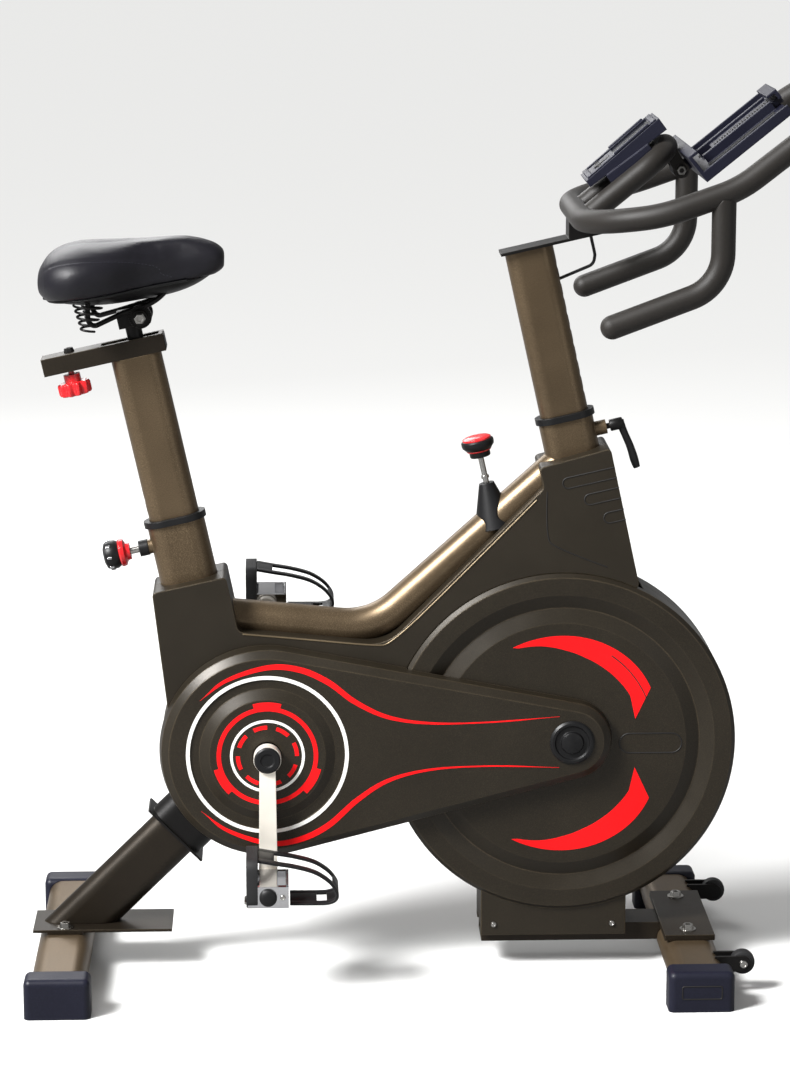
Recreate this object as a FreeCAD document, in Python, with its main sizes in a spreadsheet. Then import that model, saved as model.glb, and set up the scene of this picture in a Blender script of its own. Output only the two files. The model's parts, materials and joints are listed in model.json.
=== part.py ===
"""Upright spin bike: welded frame, covers, flywheel drive, saddle and handlebar.

Millimetres. +X is forwards, +Z up, the rider's right (drive) side is -Y.
The origin is on the floor, under the middle of the whole bike.
Across and along are measured in two leaning frames: "seat" (the seat tube)
and "head" (the head tube). Along runs up the tube, across runs forwards.
"""
import FreeCAD
import Part
import Sketcher
import math
import os
import re
from FreeCAD import Placement, Rotation, Vector

doc = FreeCAD.newDocument("ExerciseBike")
sheet = doc.addObject("Spreadsheet::Sheet", "Size")

sizes = {
    # where the main axes are
    "crank_x": -230.5, "crank_z": 321, "crank_length": 170, "fit_gap": 0.3, "run_gap": 0.05,
    "seat_setback": 56.7, "seat_z": 326, "seat_lean": 12.35,
    "head_ahead": 412.9, "head_z": 781, "head_lean": 12.6,
    "axle_ahead": 421.8, "axle_rise": 13.6, "cover_ahead": 410, "cover_rise": 6,
    # seat tube and post
    "sleeve_depth": 80, "sleeve_width": 50, "sleeve_wall": 3, "sleeve_top": 322, "sleeve_foot": 92,
    "post_depth": 70, "post_width": 40, "post_wall": 2.5, "post_top": 555, "post_foot": 150,
    "collar_rise": 9, "collar_lip": 3.5, "bush_length": 60, "hole_radius": 5.5, "hole_pitch": 22,
    # head tube and post
    "neck_depth": 76, "neck_width": 46, "neck_wall": 2.5, "neck_foot": 190,
    "stem_depth": 67, "stem_width": 37, "stem_wall": 2.5, "stem_top": 237, "stem_foot": 110,
    # round tube from the seat tube to the head tube
    "top_tube_radius": 25, "top_tube_wall": 2.5, "top_tube_low": 160, "top_tube_knee": 149.2,
    "top_tube_slope": 5.7, "top_tube_rise": 41.9, "top_tube_bend": 110,
    "lip_drop": 13, "lip_ahead": 16, "lip_rise": 45.5,
    # rear leg
    "leg_depth": 74, "leg_width": 40, "leg_wall": 2.5, "leg_angle": 44.4, "leg_base": 50.6, "leg_reach": 274,
    "leg_collar_at": 200, "leg_collar_length": 46, "leg_flange_depth": 104, "leg_flange_width": 62,
    "leg_flange_thick": 3,
    # bottom bracket and crank set
    "shell_radius": 20, "shell_half": 36, "spindle_radius": 10, "spindle_half": 99,
    "arm_inner": 88, "arm_thick": 15, "arm_hub_radius": 19, "arm_tip_radius": 14,
    "pedal_axle_radius": 7, "pedal_axle_length": 86, "pedal_gap": 5, "pedal_width": 80,
    "pedal_length": 56, "pedal_height": 30, "cage_reach": 97, "cage_height": 50, "cage_thick": 4,
    "strap_width": 16, "strap_back": 14, "strap_thick": 2.5,
    # flywheel and belt
    "flywheel_radius": 200, "flywheel_half": 16, "shaft_radius": 10, "fork_inner": 23.2, "fork_thick": 6,
    "belt_plane": 66, "belt_width": 12, "drive_pulley_radius": 116, "small_pulley_radius": 28,
    "belt_thick": 3,
    # covers
    "cover_radius": 242, "cover_half": 55, "cover_wall": 3, "groove_outer": 212, "groove_inner": 172,
    "groove_depth": 9, "skirt_length": 204, "skirt_ahead": 400, "skirt_foot": 47, "skirt_half": 50,
    "seat_shroud_top": 235, "head_shroud_top": -55,
    "fairing_half": 50, "fairing_wall": 3, "fairing_radius": 148, "belt_cover_radius": 150,
    "belt_cover_nose": 58, "belt_cover_face": 77, "belt_cover_wall": 2.5, "belt_cover_bevel": 14,
    "disc_radius": 111, "disc_face": 83, "disc_wall": 2, "left_disc_face": 80,
    # base
    "base_front": 587.5, "base_rear": 286, "base_length": 490, "cap_length": 46, "cap_depth": 90,
    "cap_height": 56, "base_tube_depth": 76, "base_tube_height": 40, "base_tube_foot": 13,
    "base_tube_wall": 2, "plate_thick": 4, "front_plate_thick": 8, "front_plate_half": 100,
    "front_plate_depth": 70,
    "rear_plate_length": 195, "rear_plate_half": 45, "mount_bolt_half": 74,
    "rail_foot": 32, "rail_height": 25, "rail_half": 30, "rail_rear": 300, "rail_wall": 2.5,
    "wheel_radius": 17, "wheel_width": 16, "wheel_ahead": 65.5, "wheel_height": 43, "wheel_side": 160,
    "wheel_pin_radius": 4,
    # seat slider and saddle
    "slider_length": 170, "slider_ahead": 43, "slider_height": 24, "slider_width": 40,
    "slider_wall": 2.5, "carriage_length": 126, "pillar_radius": 11, "pillar_across": 5,
    "pillar_top": 616, "slot_back": 48, "slot_ahead": 32,
    "slider_knob_back": 92, "slider_knob_radius": 23, "slider_knob_height": 30,
    "clamp_across": 19, "clamp_along": 608, "clamp_half": 17, "clamp_bolt_radius": 4,
    "rail_rod_radius": 3.5, "rail_rod_side": 22, "ear_radius": 16,
    "saddle_length": 256, "saddle_width": 202, "saddle_nose_width": 66, "saddle_tail": 307,
    "saddle_floor": 946, "pan_thick": 5, "pan_slope": 8,
    # seat pin
    "pin_along": 290, "pin_radius": 5, "pin_boss_radius": 10, "pin_boss_length": 16,
    "pin_knob_radius": 21, "pin_knob_length": 38, "pin_travel": 8,
    # handlebar
    "bar_radius": 16, "bar_ahead": 426, "bar_z": 1062, "bar_corner_side": 158, "arm_side": 203,
    "arm_ahead": 522, "arm_z": 1079, "horn_low_ahead": 622, "horn_low_z": 1114,
    "horn_high_ahead": 702, "horn_high_z": 1175, "horn_tip_ahead": 776, "horn_tip_z": 1224,
    "horn_tip_side": 182, "corner_bend": 118, "drop_radius": 16,
    "drop_ahead": 601, "drop_foot_z": 1000, "drop_end_ahead": 457,
    "drop_end_z": 933, "drop_bend": 62, "loop_radius": 15, "loop_side": 52, "loop_length": 156,
    "loop_slope": 39.2, "loop_drop": 9,
    "plate_length": 148, "plate_width": 50, "cable_side": 14, "cable_radius": 2.2,
    # console and tablet holder
    "console_length": 128, "console_thick": 10, "console_rise": 9, "console_width": 84, "console_slope": 37,
    "button_travel": 2, "console_ahead": 441, "console_z": 1100,
    "tray_length": 145, "tray_width": 240, "tray_thick": 6,
    "tray_lip": 42, "tray_slope": 39, "tray_ahead": 589, "tray_z": 1114, "jaw_half": 30,
    "tilt_rise": 20, "tilt_back": 14, "lug_half": 9, "lug_side": 21.5, "lug_thick": 10, "tilt_pin_radius": 4,
    # resistance control
    "rod_ahead": 305.5, "rod_z": 687, "rod_radius": 4, "cone_height": 62, "cone_top": 10.5,
    "cone_base": 30, "knob_radius": 23, "knob_height": 30, "knob_rise": 42, "press_travel": 5,
    "rod_drop": 108, "yoke_height": 52, "yoke_width": 52, "yoke_length": 34, "brake_travel": 4.5,
    # head lever
    "lever_along": -28, "lever_boss_radius": 10, "lever_boss_length": 15, "lever_stud_radius": 4,
    "lever_hub": 66, "lever_reach": 60, "lever_swing": 21,
}
for row, (word, number) in enumerate(sizes.items(), 1):
    sheet.set(f"A{row}", word)
    sheet.set(f"B{row}", str(number))
    sheet.setAlias(f"B{row}", word)
doc.recompute()


# helpers

def formula(text):
    """A formula in sheet words, as an expression on the sheet."""
    return re.sub(r"[a-z]+(?:_[a-z]+)+", r"Size.\g<0>", str(text))


def worth(text):
    """The number that a formula gives now."""
    return float(sheet.evalExpression(formula(text)))


def bind(thing, formulas):
    for prop, text in formulas.items():
        thing.setExpression(prop, formula(text))
    return thing


def put(thing, x="0", y="0", z="0", axis=(0, 0, 1), angle="0"):
    """Place a piece from formulas; the angle turns it about a fixed axis."""
    thing.Placement = Placement(Vector(), Rotation(Vector(*axis), worth(angle)))
    bind(thing, {"Placement.Base.x": x, "Placement.Base.y": y, "Placement.Base.z": z})
    if not re.fullmatch(r"-?[0-9.]+", str(angle)):
        bind(thing, {"Placement.Rotation.Angle": angle})
    return thing


def spot(frame, across, along):
    """Formulas for the X and Z of a point given in a leaning frame."""
    if frame == "seat":
        lean, x, z = "seat_lean", "crank_x - seat_setback", "seat_z"
    else:
        lean, x, z = "head_lean", "crank_x + head_ahead", "head_z"
    return (f"{x} + ({across}) * cos({lean}) - ({along}) * sin({lean})",
            f"{z} + ({across}) * sin({lean}) + ({along}) * cos({lean})")


def lean(thing, frame, across="0", along="0", side="0"):
    """Stand a piece in a leaning frame: its Z runs up the tube, its X forwards."""
    x, z = spot(frame, across, along)
    return put(thing, x, side, z, (0, -1, 0), f"{frame}_lean")


def named(thing, label):
    thing.Label = label
    nodes.append(thing)
    return thing


def part(kind, **formulas):
    thing = doc.addObject("Part::" + kind, kind.lower())
    return bind(thing, formulas)


def cylinder(radius, height):
    return part("Cylinder", Radius=radius, Height=height)


def cross_cylinder(radius, length, x, y, z):
    """A cylinder along Y, from y towards -Y."""
    return put(cylinder(radius, length), x, y, z, (1, 0, 0), "90")


def box(length, width, height, x, y, z):
    """A box with its corner at x and z, and centred on y."""
    return put(part("Box", Length=length, Width=width, Height=height), x, f"{y} - ({width}) / 2", z)


def lean_box(frame, length, width, height, across, along, side="0"):
    x, z = spot(frame, across, along)
    shape = part("Box", Length=length, Width=width, Height=height)
    return put(shape, x, f"{side} - ({width}) / 2", z, (0, -1, 0), f"{frame}_lean")


def joined(*things):
    fusion = doc.addObject("Part::MultiFuse", "joined")
    fusion.Shapes = list(things)
    return fusion


def cut(base, *tools):
    result = doc.addObject("Part::Cut", "cut")
    result.Base = base
    result.Tool = tools[0] if len(tools) == 1 else joined(*tools)
    return result


def body_sketch(body, role, offset="0"):
    plane = [entry for entry in body.Origin.OriginFeatures if entry.Role == role][0]
    sketch = body.newObject("Sketcher::SketchObject", "sketch")
    sketch.AttachmentSupport = (plane, [""])
    sketch.MapMode = "FlatFace"
    bind(sketch, {"AttachmentOffset.Base.z": offset})
    return sketch


def fix(sketch, kind, places, text):
    """Add one dimension to a sketch and bind it to a formula."""
    index = sketch.addConstraint(Sketcher.Constraint(kind, *places, worth(text)))
    bind(sketch, {f"Constraints[{index}]": text})


def draw_polygon(sketch, corners):
    points = [Vector(worth(x), worth(y), 0) for x, y in corners]
    first = sketch.GeometryCount
    count = len(points)
    for step in range(count):
        sketch.addGeometry(Part.LineSegment(points[step], points[(step + 1) % count]), False)
    for step in range(count):
        after = first + (step + 1) % count
        sketch.addConstraint(Sketcher.Constraint("Coincident", first + step, 2, after, 1))
    for step, (x, y) in enumerate(corners):
        fix(sketch, "DistanceX", (-1, 1, first + step, 1), x)
        fix(sketch, "DistanceY", (-1, 1, first + step, 1), y)


def draw_oval(sketch, depth, width):
    """A flat oval: two straight sides and two half-round ends."""
    half = f"(({depth}) - ({width})) / 2"
    radius = f"({width}) / 2"
    a, r = worth(half), worth(radius)
    first = sketch.GeometryCount
    quarter = math.pi / 2
    sketch.addGeometry(Part.LineSegment(Vector(-a, r, 0), Vector(a, r, 0)), False)
    front = Part.Circle(Vector(a, 0, 0), Vector(0, 0, 1), r)
    rear = Part.Circle(Vector(-a, 0, 0), Vector(0, 0, 1), r)
    sketch.addGeometry(Part.ArcOfCircle(front, -quarter, quarter), False)
    sketch.addGeometry(Part.LineSegment(Vector(a, -r, 0), Vector(-a, -r, 0)), False)
    sketch.addGeometry(Part.ArcOfCircle(rear, quarter, 3 * quarter), False)
    for one, end, other, start in ((0, 2, 1, 2), (1, 1, 2, 1), (2, 2, 3, 2), (3, 1, 0, 1)):
        sketch.addConstraint(Sketcher.Constraint("Tangent", first + one, end, first + other, start))
    sketch.addConstraint(Sketcher.Constraint("Horizontal", first))
    fix(sketch, "Radius", (first + 1,), radius)
    fix(sketch, "DistanceX", (-1, 1, first + 1, 3), half)
    fix(sketch, "DistanceY", (-1, 1, first + 1, 3), "0")
    fix(sketch, "DistanceX", (-1, 1, first + 3, 3), f"-({half})")
    fix(sketch, "DistanceY", (-1, 1, first + 3, 3), "0")


def draw_circle(sketch, radius, x="0", y="0"):
    circle = Part.Circle(Vector(worth(x), worth(y), 0), Vector(0, 0, 1), worth(radius))
    index = sketch.addGeometry(circle, False)
    fix(sketch, "Radius", (index,), radius)
    fix(sketch, "DistanceX", (-1, 1, index, 3), x)
    fix(sketch, "DistanceY", (-1, 1, index, 3), y)


def pad(body, sketch, length, middle=False):
    feature = body.newObject("PartDesign::Pad", "pad")
    feature.Profile = sketch
    feature.Midplane = middle
    sketch.Visibility = False
    return bind(feature, {"Length": length})


def oval_tube(label, depth, width, wall, length):
    """A straight flat-oval tube standing on its own origin."""
    body = doc.addObject("PartDesign::Body", label)
    sketch = body_sketch(body, "XY_Plane")
    draw_oval(sketch, depth, width)
    if wall:
        draw_oval(sketch, f"{depth} - 2 * ({wall})", f"{width} - 2 * ({wall})")
    pad(body, sketch, length)
    return body


def slab(label, outline, thick, role="XZ_Plane", middle=True, offset="0", holes=()):
    """A plate with a straight-sided outline; holes are (radius, x, z) formulas."""
    body = doc.addObject("PartDesign::Body", label)
    sketch = body_sketch(body, role, offset)
    draw_polygon(sketch, outline)
    for hole in holes:
        draw_circle(sketch, *hole)
    pad(body, sketch, thick, middle)
    return body


def turned(label, profile, x, z, side="0"):
    """A turned piece on an axis along Y. The profile is (radius, distance to the right) formulas."""
    body = doc.addObject("PartDesign::Body", label)
    sketch = body_sketch(body, "XY_Plane")
    draw_polygon(sketch, [(radius, f"-({right})") for radius, right in profile])
    spin = body.newObject("PartDesign::Revolution", "revolution")
    spin.Profile = sketch
    spin.ReferenceAxis = (sketch, ["V_Axis"])
    spin.Angle = 360
    return put(body, x, side, z)


def turned_up(label, profile):
    """A turned piece on its own Z axis. The profile is (radius, height) formulas."""
    body = doc.addObject("PartDesign::Body", label)
    sketch = body_sketch(body, "XZ_Plane")
    draw_polygon(sketch, profile)
    spin = body.newObject("PartDesign::Revolution", "revolution")
    spin.Profile = sketch
    spin.ReferenceAxis = (sketch, ["V_Axis"])
    spin.Angle = 360
    return body


def shaped(label, shape):
    """A piece whose shape is made with Part's own functions."""
    thing = doc.addObject("Part::Feature", label)
    thing.Shape = shape
    return thing


def path_wire(points, radii):
    """Straight runs joined by tangent arcs, one radius for each inner point."""
    edges, start = [], points[0]
    for before, corner, after, radius in zip(points, points[1:], points[2:], radii):
        inward = (before - corner).normalize()
        outward = (after - corner).normalize()
        half_turn = (math.pi - inward.getAngle(outward)) / 2
        setback = radius * math.tan(half_turn)
        first, last = corner + inward * setback, corner + outward * setback
        bisector = (inward + outward).normalize()
        middle = corner + bisector * (radius / math.cos(half_turn) - radius)
        edges += [Part.LineSegment(start, first).toShape(), Part.Arc(first, middle, last).toShape()]
        start = last
    edges.append(Part.LineSegment(start, points[-1]).toShape())
    return Part.Wire(edges)


def round_bar(points, radii, radius, wall=0):
    """A round bar along a path, hollow if it has a wall."""
    wire = path_wire(points, radii)
    direction = points[1] - points[0]

    def sweep(size):
        ring = Part.Wire(Part.Circle(points[0], direction, size).toShape())
        return wire.makePipeShell([ring], True, False)
    return sweep(radius).cut(sweep(radius - wall)) if wall else sweep(radius)


def ahead(x, y, z):
    """A point from formulas, with X measured forwards from the crank."""
    return Vector(worth(f"crank_x + ({x})"), worth(y), worth(z))


def outline_face(points, radii):
    """A flat face in the XZ plane with rounded corners, from closed (X, Z) points."""
    spots = [Vector(x, 0, z) for x, z in points]
    count = len(spots)
    edges, ends = [], []
    for step, radius in enumerate(radii):
        corner = spots[step]
        inward = (spots[step - 1] - corner).normalize()
        outward = (spots[(step + 1) % count] - corner).normalize()
        half_turn = (math.pi - inward.getAngle(outward)) / 2
        setback = radius * math.tan(half_turn)
        first, last = corner + inward * setback, corner + outward * setback
        middle = corner + (inward + outward).normalize() * (radius / math.cos(half_turn) - radius)
        ends.append((first, middle, last))
    for step, (first, middle, last) in enumerate(ends):
        edges.append(Part.Arc(first, middle, last).toShape())
        edges.append(Part.LineSegment(last, ends[(step + 1) % count][0]).toShape())
    return Part.Face(Part.Wire(edges))


nodes = []
crank = ("crank_x", "crank_z")
axle = ("crank_x + axle_ahead", "crank_z + axle_rise")
cover_middle = ("crank_x + cover_ahead", "crank_z + cover_rise")


# welded frame

def seat_tube_piece():
    length = "sleeve_top + sleeve_foot"
    tube = lean(oval_tube("seat_sleeve_blank", "sleeve_depth", "sleeve_width", "sleeve_wall", length),
                "seat", "0", "-sleeve_foot")
    boss = cylinder("pin_boss_radius", "pin_boss_length + sleeve_wall")
    x, z = spot("seat", "-sleeve_depth / 2 - pin_boss_length", "pin_along")
    put(boss, x, "0", z, (0, 1, 0), "90 - seat_lean")
    bore = cylinder("pin_radius + run_gap", "2 * pin_boss_length + sleeve_depth / 2")
    x, z = spot("seat", "-sleeve_depth / 2 - pin_boss_length - 1", "pin_along")
    put(bore, x, "0", z, (0, 1, 0), "90 - seat_lean")
    shell = cross_cylinder("shell_radius + 0.2", "2 * shell_half", crank[0], "shell_half", crank[1])
    inside = lean(oval_tube("seat_sleeve_inside", "sleeve_depth - 2 * sleeve_wall",
                            "sleeve_width - 2 * sleeve_wall", "", length), "seat", "0", "-sleeve_foot")
    hollow_boss = cut(boss, inside)
    return named(cut(joined(tube, hollow_boss), bore, shell), "seat_tube")


def bushed_collar(label, frame, top, depth, width, wall, post_depth, post_width):
    """A plastic collar on a sleeve's mouth, with a bush that guides the post."""
    lip = oval_tube(label + "_lip", f"{depth} + 2 * collar_lip", f"{width} + 2 * collar_lip", "",
                    "collar_rise")
    lean(lip, frame, "0", f"{top} - 5")
    over = oval_tube(label + "_over", f"{depth} + 0.2", f"{width} + 0.2", "", "5.1")
    lean(over, frame, "0", f"{top} - 5.1")
    bush = oval_tube(label + "_bush", f"{depth} - 2 * {wall} - 0.2", f"{width} - 2 * {wall} - 0.2", "",
                     "bush_length + 2")
    lean(bush, frame, "0", f"{top} - bush_length")
    mouth = oval_tube(label + "_mouth", f"{post_depth} + 2 * fit_gap", f"{post_width} + 2 * fit_gap",
                      "", "bush_length + 40")
    lean(mouth, frame, "0", f"{top} - bush_length - 10")
    pieces = [over, mouth]
    if frame == "seat":
        bore = cylinder("pin_radius + 0.5", "sleeve_depth / 2")
        x, z = spot("seat", "-sleeve_depth / 2", "pin_along")
        pieces.append(put(bore, x, "0", z, (0, 1, 0), "90 - seat_lean"))
        return named(cut(joined(cut(lip, pieces[0]), bush), mouth, pieces[2]), label)
    bore = cylinder("lever_stud_radius + 0.5", "neck_depth / 2 + 5")
    x, z = spot("head", "0", "lever_along")
    put(bore, x, "0", z, (0, 1, 0), "90 - head_lean")
    return named(cut(joined(cut(lip, over), bush), mouth, bore), label)


def head_tube_piece():
    tube = lean(oval_tube("neck_blank", "neck_depth", "neck_width", "neck_wall", "neck_foot"),
                "head", "0", "-neck_foot")
    boss = cylinder("lever_boss_radius", "lever_boss_length + 2")
    x, z = spot("head", "neck_depth / 2 - 2", "lever_along")
    put(boss, x, "0", z, (0, 1, 0), "90 - head_lean")
    bore = cylinder("lever_stud_radius + run_gap", "lever_boss_length + 12")
    x, z = spot("head", "neck_depth / 2 - 8", "lever_along")
    put(bore, x, "0", z, (0, 1, 0), "90 - head_lean")
    return named(cut(joined(tube, boss), bore), "head_tube")


def top_tube_piece():
    slope = math.radians(worth("top_tube_slope"))
    rise = math.radians(worth("top_tube_rise"))
    knee = ahead("top_tube_knee", "0", "crank_z + top_tube_low")
    low_run = worth("top_tube_knee + seat_setback + sleeve_depth")
    high_run = worth("head_ahead - top_tube_knee") / math.cos(rise) - 8
    start = knee - Vector(math.cos(slope), 0, -math.sin(slope)) * low_run
    end = knee + Vector(math.cos(rise), 0, math.sin(rise)) * high_run
    bar = shaped("top_tube_bar", round_bar([start, knee, end], [worth("top_tube_bend")],
                                           worth("top_tube_radius"), worth("top_tube_wall")))
    sleeve = lean(oval_tube("top_tube_rear_cope", "sleeve_depth + 0.2", "sleeve_width + 0.2", "",
                            "sleeve_top + sleeve_foot"), "seat", "0", "-sleeve_foot")
    behind = lean_box("seat", "150", "100", "400", "-150", "0")
    neck = lean(oval_tube("top_tube_front_cope", "neck_depth + 0.2", "neck_width + 0.2", "", "neck_foot"),
                "head", "0", "-neck_foot")
    before = lean_box("head", "120", "100", "neck_foot", "0", "-neck_foot")
    hole = lean_rod_tool("rod_radius + 2", "-cone_height - 90", "cone_height + 90")
    return named(cut(bar, sleeve, behind, neck, before, hole), "top_tube")


def lean_rod_tool(radius, along, length):
    """A cylinder on the resistance rod's axis, which is parallel to the head tube."""
    tool = cylinder(radius, length)
    return put(tool, f"crank_x + rod_ahead - ({along}) * sin(head_lean)", "0",
               f"rod_z + ({along}) * cos(head_lean)", (0, -1, 0), "head_lean")


def brake_box(length, width, height, along):
    """A box square to the resistance rod and centred on it."""
    block = part("Box", Length=length, Width=width, Height=height)
    half = f"({length}) / 2"
    return put(block, f"crank_x + rod_ahead - {half} * cos(head_lean) - ({along}) * sin(head_lean)",
               f"-({width}) / 2", f"rod_z - {half} * sin(head_lean) + ({along}) * cos(head_lean)",
               (0, -1, 0), "head_lean")


def leg_place(thing, along):
    """Stand a piece on the rear leg's line: its Z runs up the leg."""
    x = f"crank_x - leg_reach + ({along}) * cos(leg_angle)"
    z = f"leg_base + ({along}) * sin(leg_angle)"
    return put(thing, x, "0", z, (0, 1, 0), "90 - leg_angle")


def rear_leg_piece():
    blank = leg_place(oval_tube("leg_blank", "leg_depth", "leg_width", "leg_wall", "460"), "-90")
    sleeve = lean(oval_tube("leg_cope", "sleeve_depth + 0.2", "sleeve_width + 0.2", "",
                            "sleeve_top + sleeve_foot"), "seat", "0", "-sleeve_foot")
    beyond = lean_box("seat", "400", "100", "700", "0", "-300")
    floor = box("400", "200", "200", "crank_x - base_rear - 200", "0", "cap_height + plate_thick + 0.1 - 200")
    shell = cross_cylinder("shell_radius + 0.2", "2 * shell_half", crank[0], "shell_half", crank[1])
    above = lean_box("seat", "300", "100", "400", "-150", "-sleeve_foot + 40")
    return named(cut(blank, sleeve, beyond, floor, shell, above), "rear_leg")


def leg_collar_piece():
    sleeve = leg_place(oval_tube("leg_collar_sleeve", "leg_depth + 16", "leg_width + 10", "",
                                 "leg_collar_length"), "leg_collar_at")
    flange = leg_place(part("Box", Length="leg_flange_depth", Width="leg_flange_width",
                            Height="leg_flange_thick"), "leg_collar_at")
    bind(flange, {"Placement.Base.x": "crank_x - leg_reach + leg_collar_at * cos(leg_angle)"
                                      " - leg_flange_depth / 2 * sin(leg_angle)",
                  "Placement.Base.y": "-leg_flange_width / 2",
                  "Placement.Base.z": "leg_base + leg_collar_at * sin(leg_angle)"
                                      " + leg_flange_depth / 2 * cos(leg_angle)"})
    bore = leg_place(oval_tube("leg_collar_bore", "leg_depth + 0.2", "leg_width + 0.2", "",
                               "leg_collar_length + 20"), "leg_collar_at - 10")
    return named(cut(joined(sleeve, flange), bore), "leg_collar")


def bracket_shell_piece():
    shell = cross_cylinder("shell_radius", "2 * shell_half", crank[0], "shell_half", crank[1])
    bore = cross_cylinder("spindle_radius + run_gap", "2 * shell_half + 2", crank[0], "shell_half + 1",
                          crank[1])
    return named(cut(shell, bore), "bracket_shell")


def wheel_fork_piece():
    """Two blades either side of the flywheel, each with a stay back to the bracket shell."""
    top_z = "head_z - neck_foot * cos(head_lean) + 42"
    top_x = f"crank_x + head_ahead + (head_z - ({top_z})) * tan(head_lean)"
    rail_top = "rail_foot + rail_height + 0.1"
    outline = [(f"{axle[0]} - 28", rail_top), (f"{axle[0]} + 28", rail_top),
               (f"{axle[0]} + 30", axle[1]), (f"{top_x} + 30", top_z), (f"{top_x} - 30", top_z),
               (f"{axle[0]} - 30", axle[1])]
    sides = []
    for side in ("-1", "1"):
        middle = f"{side} * (fork_inner + fork_thick / 2)"
        blade = slab("fork_blade", outline, "fork_thick", offset=f"-({middle})")
        stay = box("axle_ahead", "fork_thick", "30", crank[0], middle, f"{crank[1]} - 12")
        hub = cross_cylinder("shaft_radius + 12", "fork_thick", axle[0], f"{middle} + fork_thick / 2",
                             axle[1])
        sides += [joined(blade, stay, hub)]
    bore = cross_cylinder("shaft_radius + run_gap", "120", axle[0], "60", axle[1])
    shell = cross_cylinder("shell_radius + 0.1", "120", crank[0], "60", crank[1])
    return named(cut(joined(*sides), bore, shell), "wheel_fork")


def lower_rail_piece():
    length = "base_front - base_tube_depth / 3 - rail_rear"
    outer = box(length, "2 * rail_half", "rail_height", "crank_x + rail_rear", "0", "rail_foot")
    inner = box(f"{length} + 2", "2 * rail_half - 2 * rail_wall", "rail_height - 2 * rail_wall",
                "crank_x + rail_rear - 1", "0", "rail_foot + rail_wall")
    tube = base_tube_tool("base_front", "0.2")
    plate = box("front_plate_depth + 0.4", "2 * front_plate_half", "40",
                "crank_x + base_front - front_plate_depth / 2 - 0.2", "0",
                "base_tube_foot + base_tube_height - 0.1")
    return named(cut(cut(outer, inner), tube, plate), "lower_rail")


# base

def base_tube_tool(ahead_by, grow):
    tool = oval_tube("base_cope", f"base_tube_depth + 2 * ({grow})", f"base_tube_height + 2 * ({grow})", "",
                     "base_length - 20")
    return put(tool, f"crank_x + {ahead_by}", "base_length / 2 - 10", "base_tube_foot + base_tube_height / 2",
               (1, 0, 0), "90")


def stabilizer(label, ahead_by):
    tube = oval_tube(label, "base_tube_depth", "base_tube_height", "base_tube_wall", "base_length - 20")
    put(tube, f"crank_x + {ahead_by}", "base_length / 2 - 10", "base_tube_foot + base_tube_height / 2",
        (1, 0, 0), "90")
    return named(tube, label)


def mount_plates_piece():
    """The plates between the tubes and the frame, bolted down at both ends."""
    front = box("front_plate_depth", "2 * front_plate_half", "front_plate_thick",
                "crank_x + base_front - front_plate_depth / 2", "0",
                "base_tube_foot + base_tube_height + 0.1")
    rear = box("rear_plate_length", "2 * rear_plate_half", "plate_thick",
               "crank_x - base_rear - 45", "0", "cap_height")
    spacer = box("50", "2 * rear_plate_half", "cap_height - base_tube_foot - base_tube_height - 0.1",
                 "crank_x - base_rear - 25", "0", "base_tube_foot + base_tube_height + 0.1")
    return named(joined(front, rear, spacer), "mount_plates")


def end_caps_piece():
    caps = []
    for ahead_by in ("base_front", "-base_rear"):
        for side in ("-1", "1"):
            inner_y = "base_length / 2 - cap_length"
            middle = f"{side} * (base_length / 2 - cap_length / 2)"
            block = box("cap_depth", "cap_length", "cap_height", f"crank_x + {ahead_by} - cap_depth / 2",
                        middle, "0")
            fillet = doc.addObject("Part::Fillet", "cap_edges")
            fillet.Base = block
            doc.recompute()
            upper = [index for index, edge in enumerate(block.Shape.Edges, 1)
                     if edge.CenterOfMass.z > worth("cap_height") * 0.4]
            fillet.Edges = [(index, 9.0, 9.0) for index in upper]
            caps.append(fillet)
    tools = [base_tube_tool("base_front", "0.1"), base_tube_tool("-base_rear", "0.1")]
    return named(cut(joined(*caps), *tools), "end_caps")


def mount_bolts_piece():
    """Dome-headed bolts, two on each stabilizer."""
    bolts = []
    front_top = "base_tube_foot + base_tube_height + 0.1 + front_plate_thick"
    for ahead_by, side, top in (("base_front", "mount_bolt_half", front_top),
                                ("base_front", "-mount_bolt_half", front_top),
                                ("-base_rear", "rear_plate_half - 12", "cap_height + plate_thick"),
                                ("-base_rear", "12 - rear_plate_half", "cap_height + plate_thick")):
        bolt = turned_up("bolt", [("0", "0.1"), ("9", "0.1"), ("8", "5"), ("4", "8"), ("0", "8.5")])
        bolts.append(put(bolt, f"crank_x + {ahead_by}", side, top))
    return named(joined(*bolts), "mount_bolts")


def wheel_brackets_piece():
    """A fork of two lugs in front of the tube for each transport wheel, with its pin."""
    lugs = []
    for side in ("-1", "1"):
        middle = f"{side} * wheel_side"
        for half in ("-1", "1"):
            y = f"{middle} + {half} * (wheel_width / 2 + 2.8)"
            lug = box("wheel_ahead - 26", "4", "22", "crank_x + base_front + 26", y, "wheel_height - 11")
            eye = cross_cylinder("11", "4", "crank_x + base_front + wheel_ahead", f"{y} + 2", "wheel_height")
            lugs += [lug, eye]
        lugs.append(cross_cylinder("wheel_pin_radius", "wheel_width + 9",
                                   "crank_x + base_front + wheel_ahead",
                                   f"{middle} + wheel_width / 2 + 4.5", "wheel_height"))
    return named(cut(joined(*lugs), base_tube_tool("base_front", "0.1")), "wheel_brackets")


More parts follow.
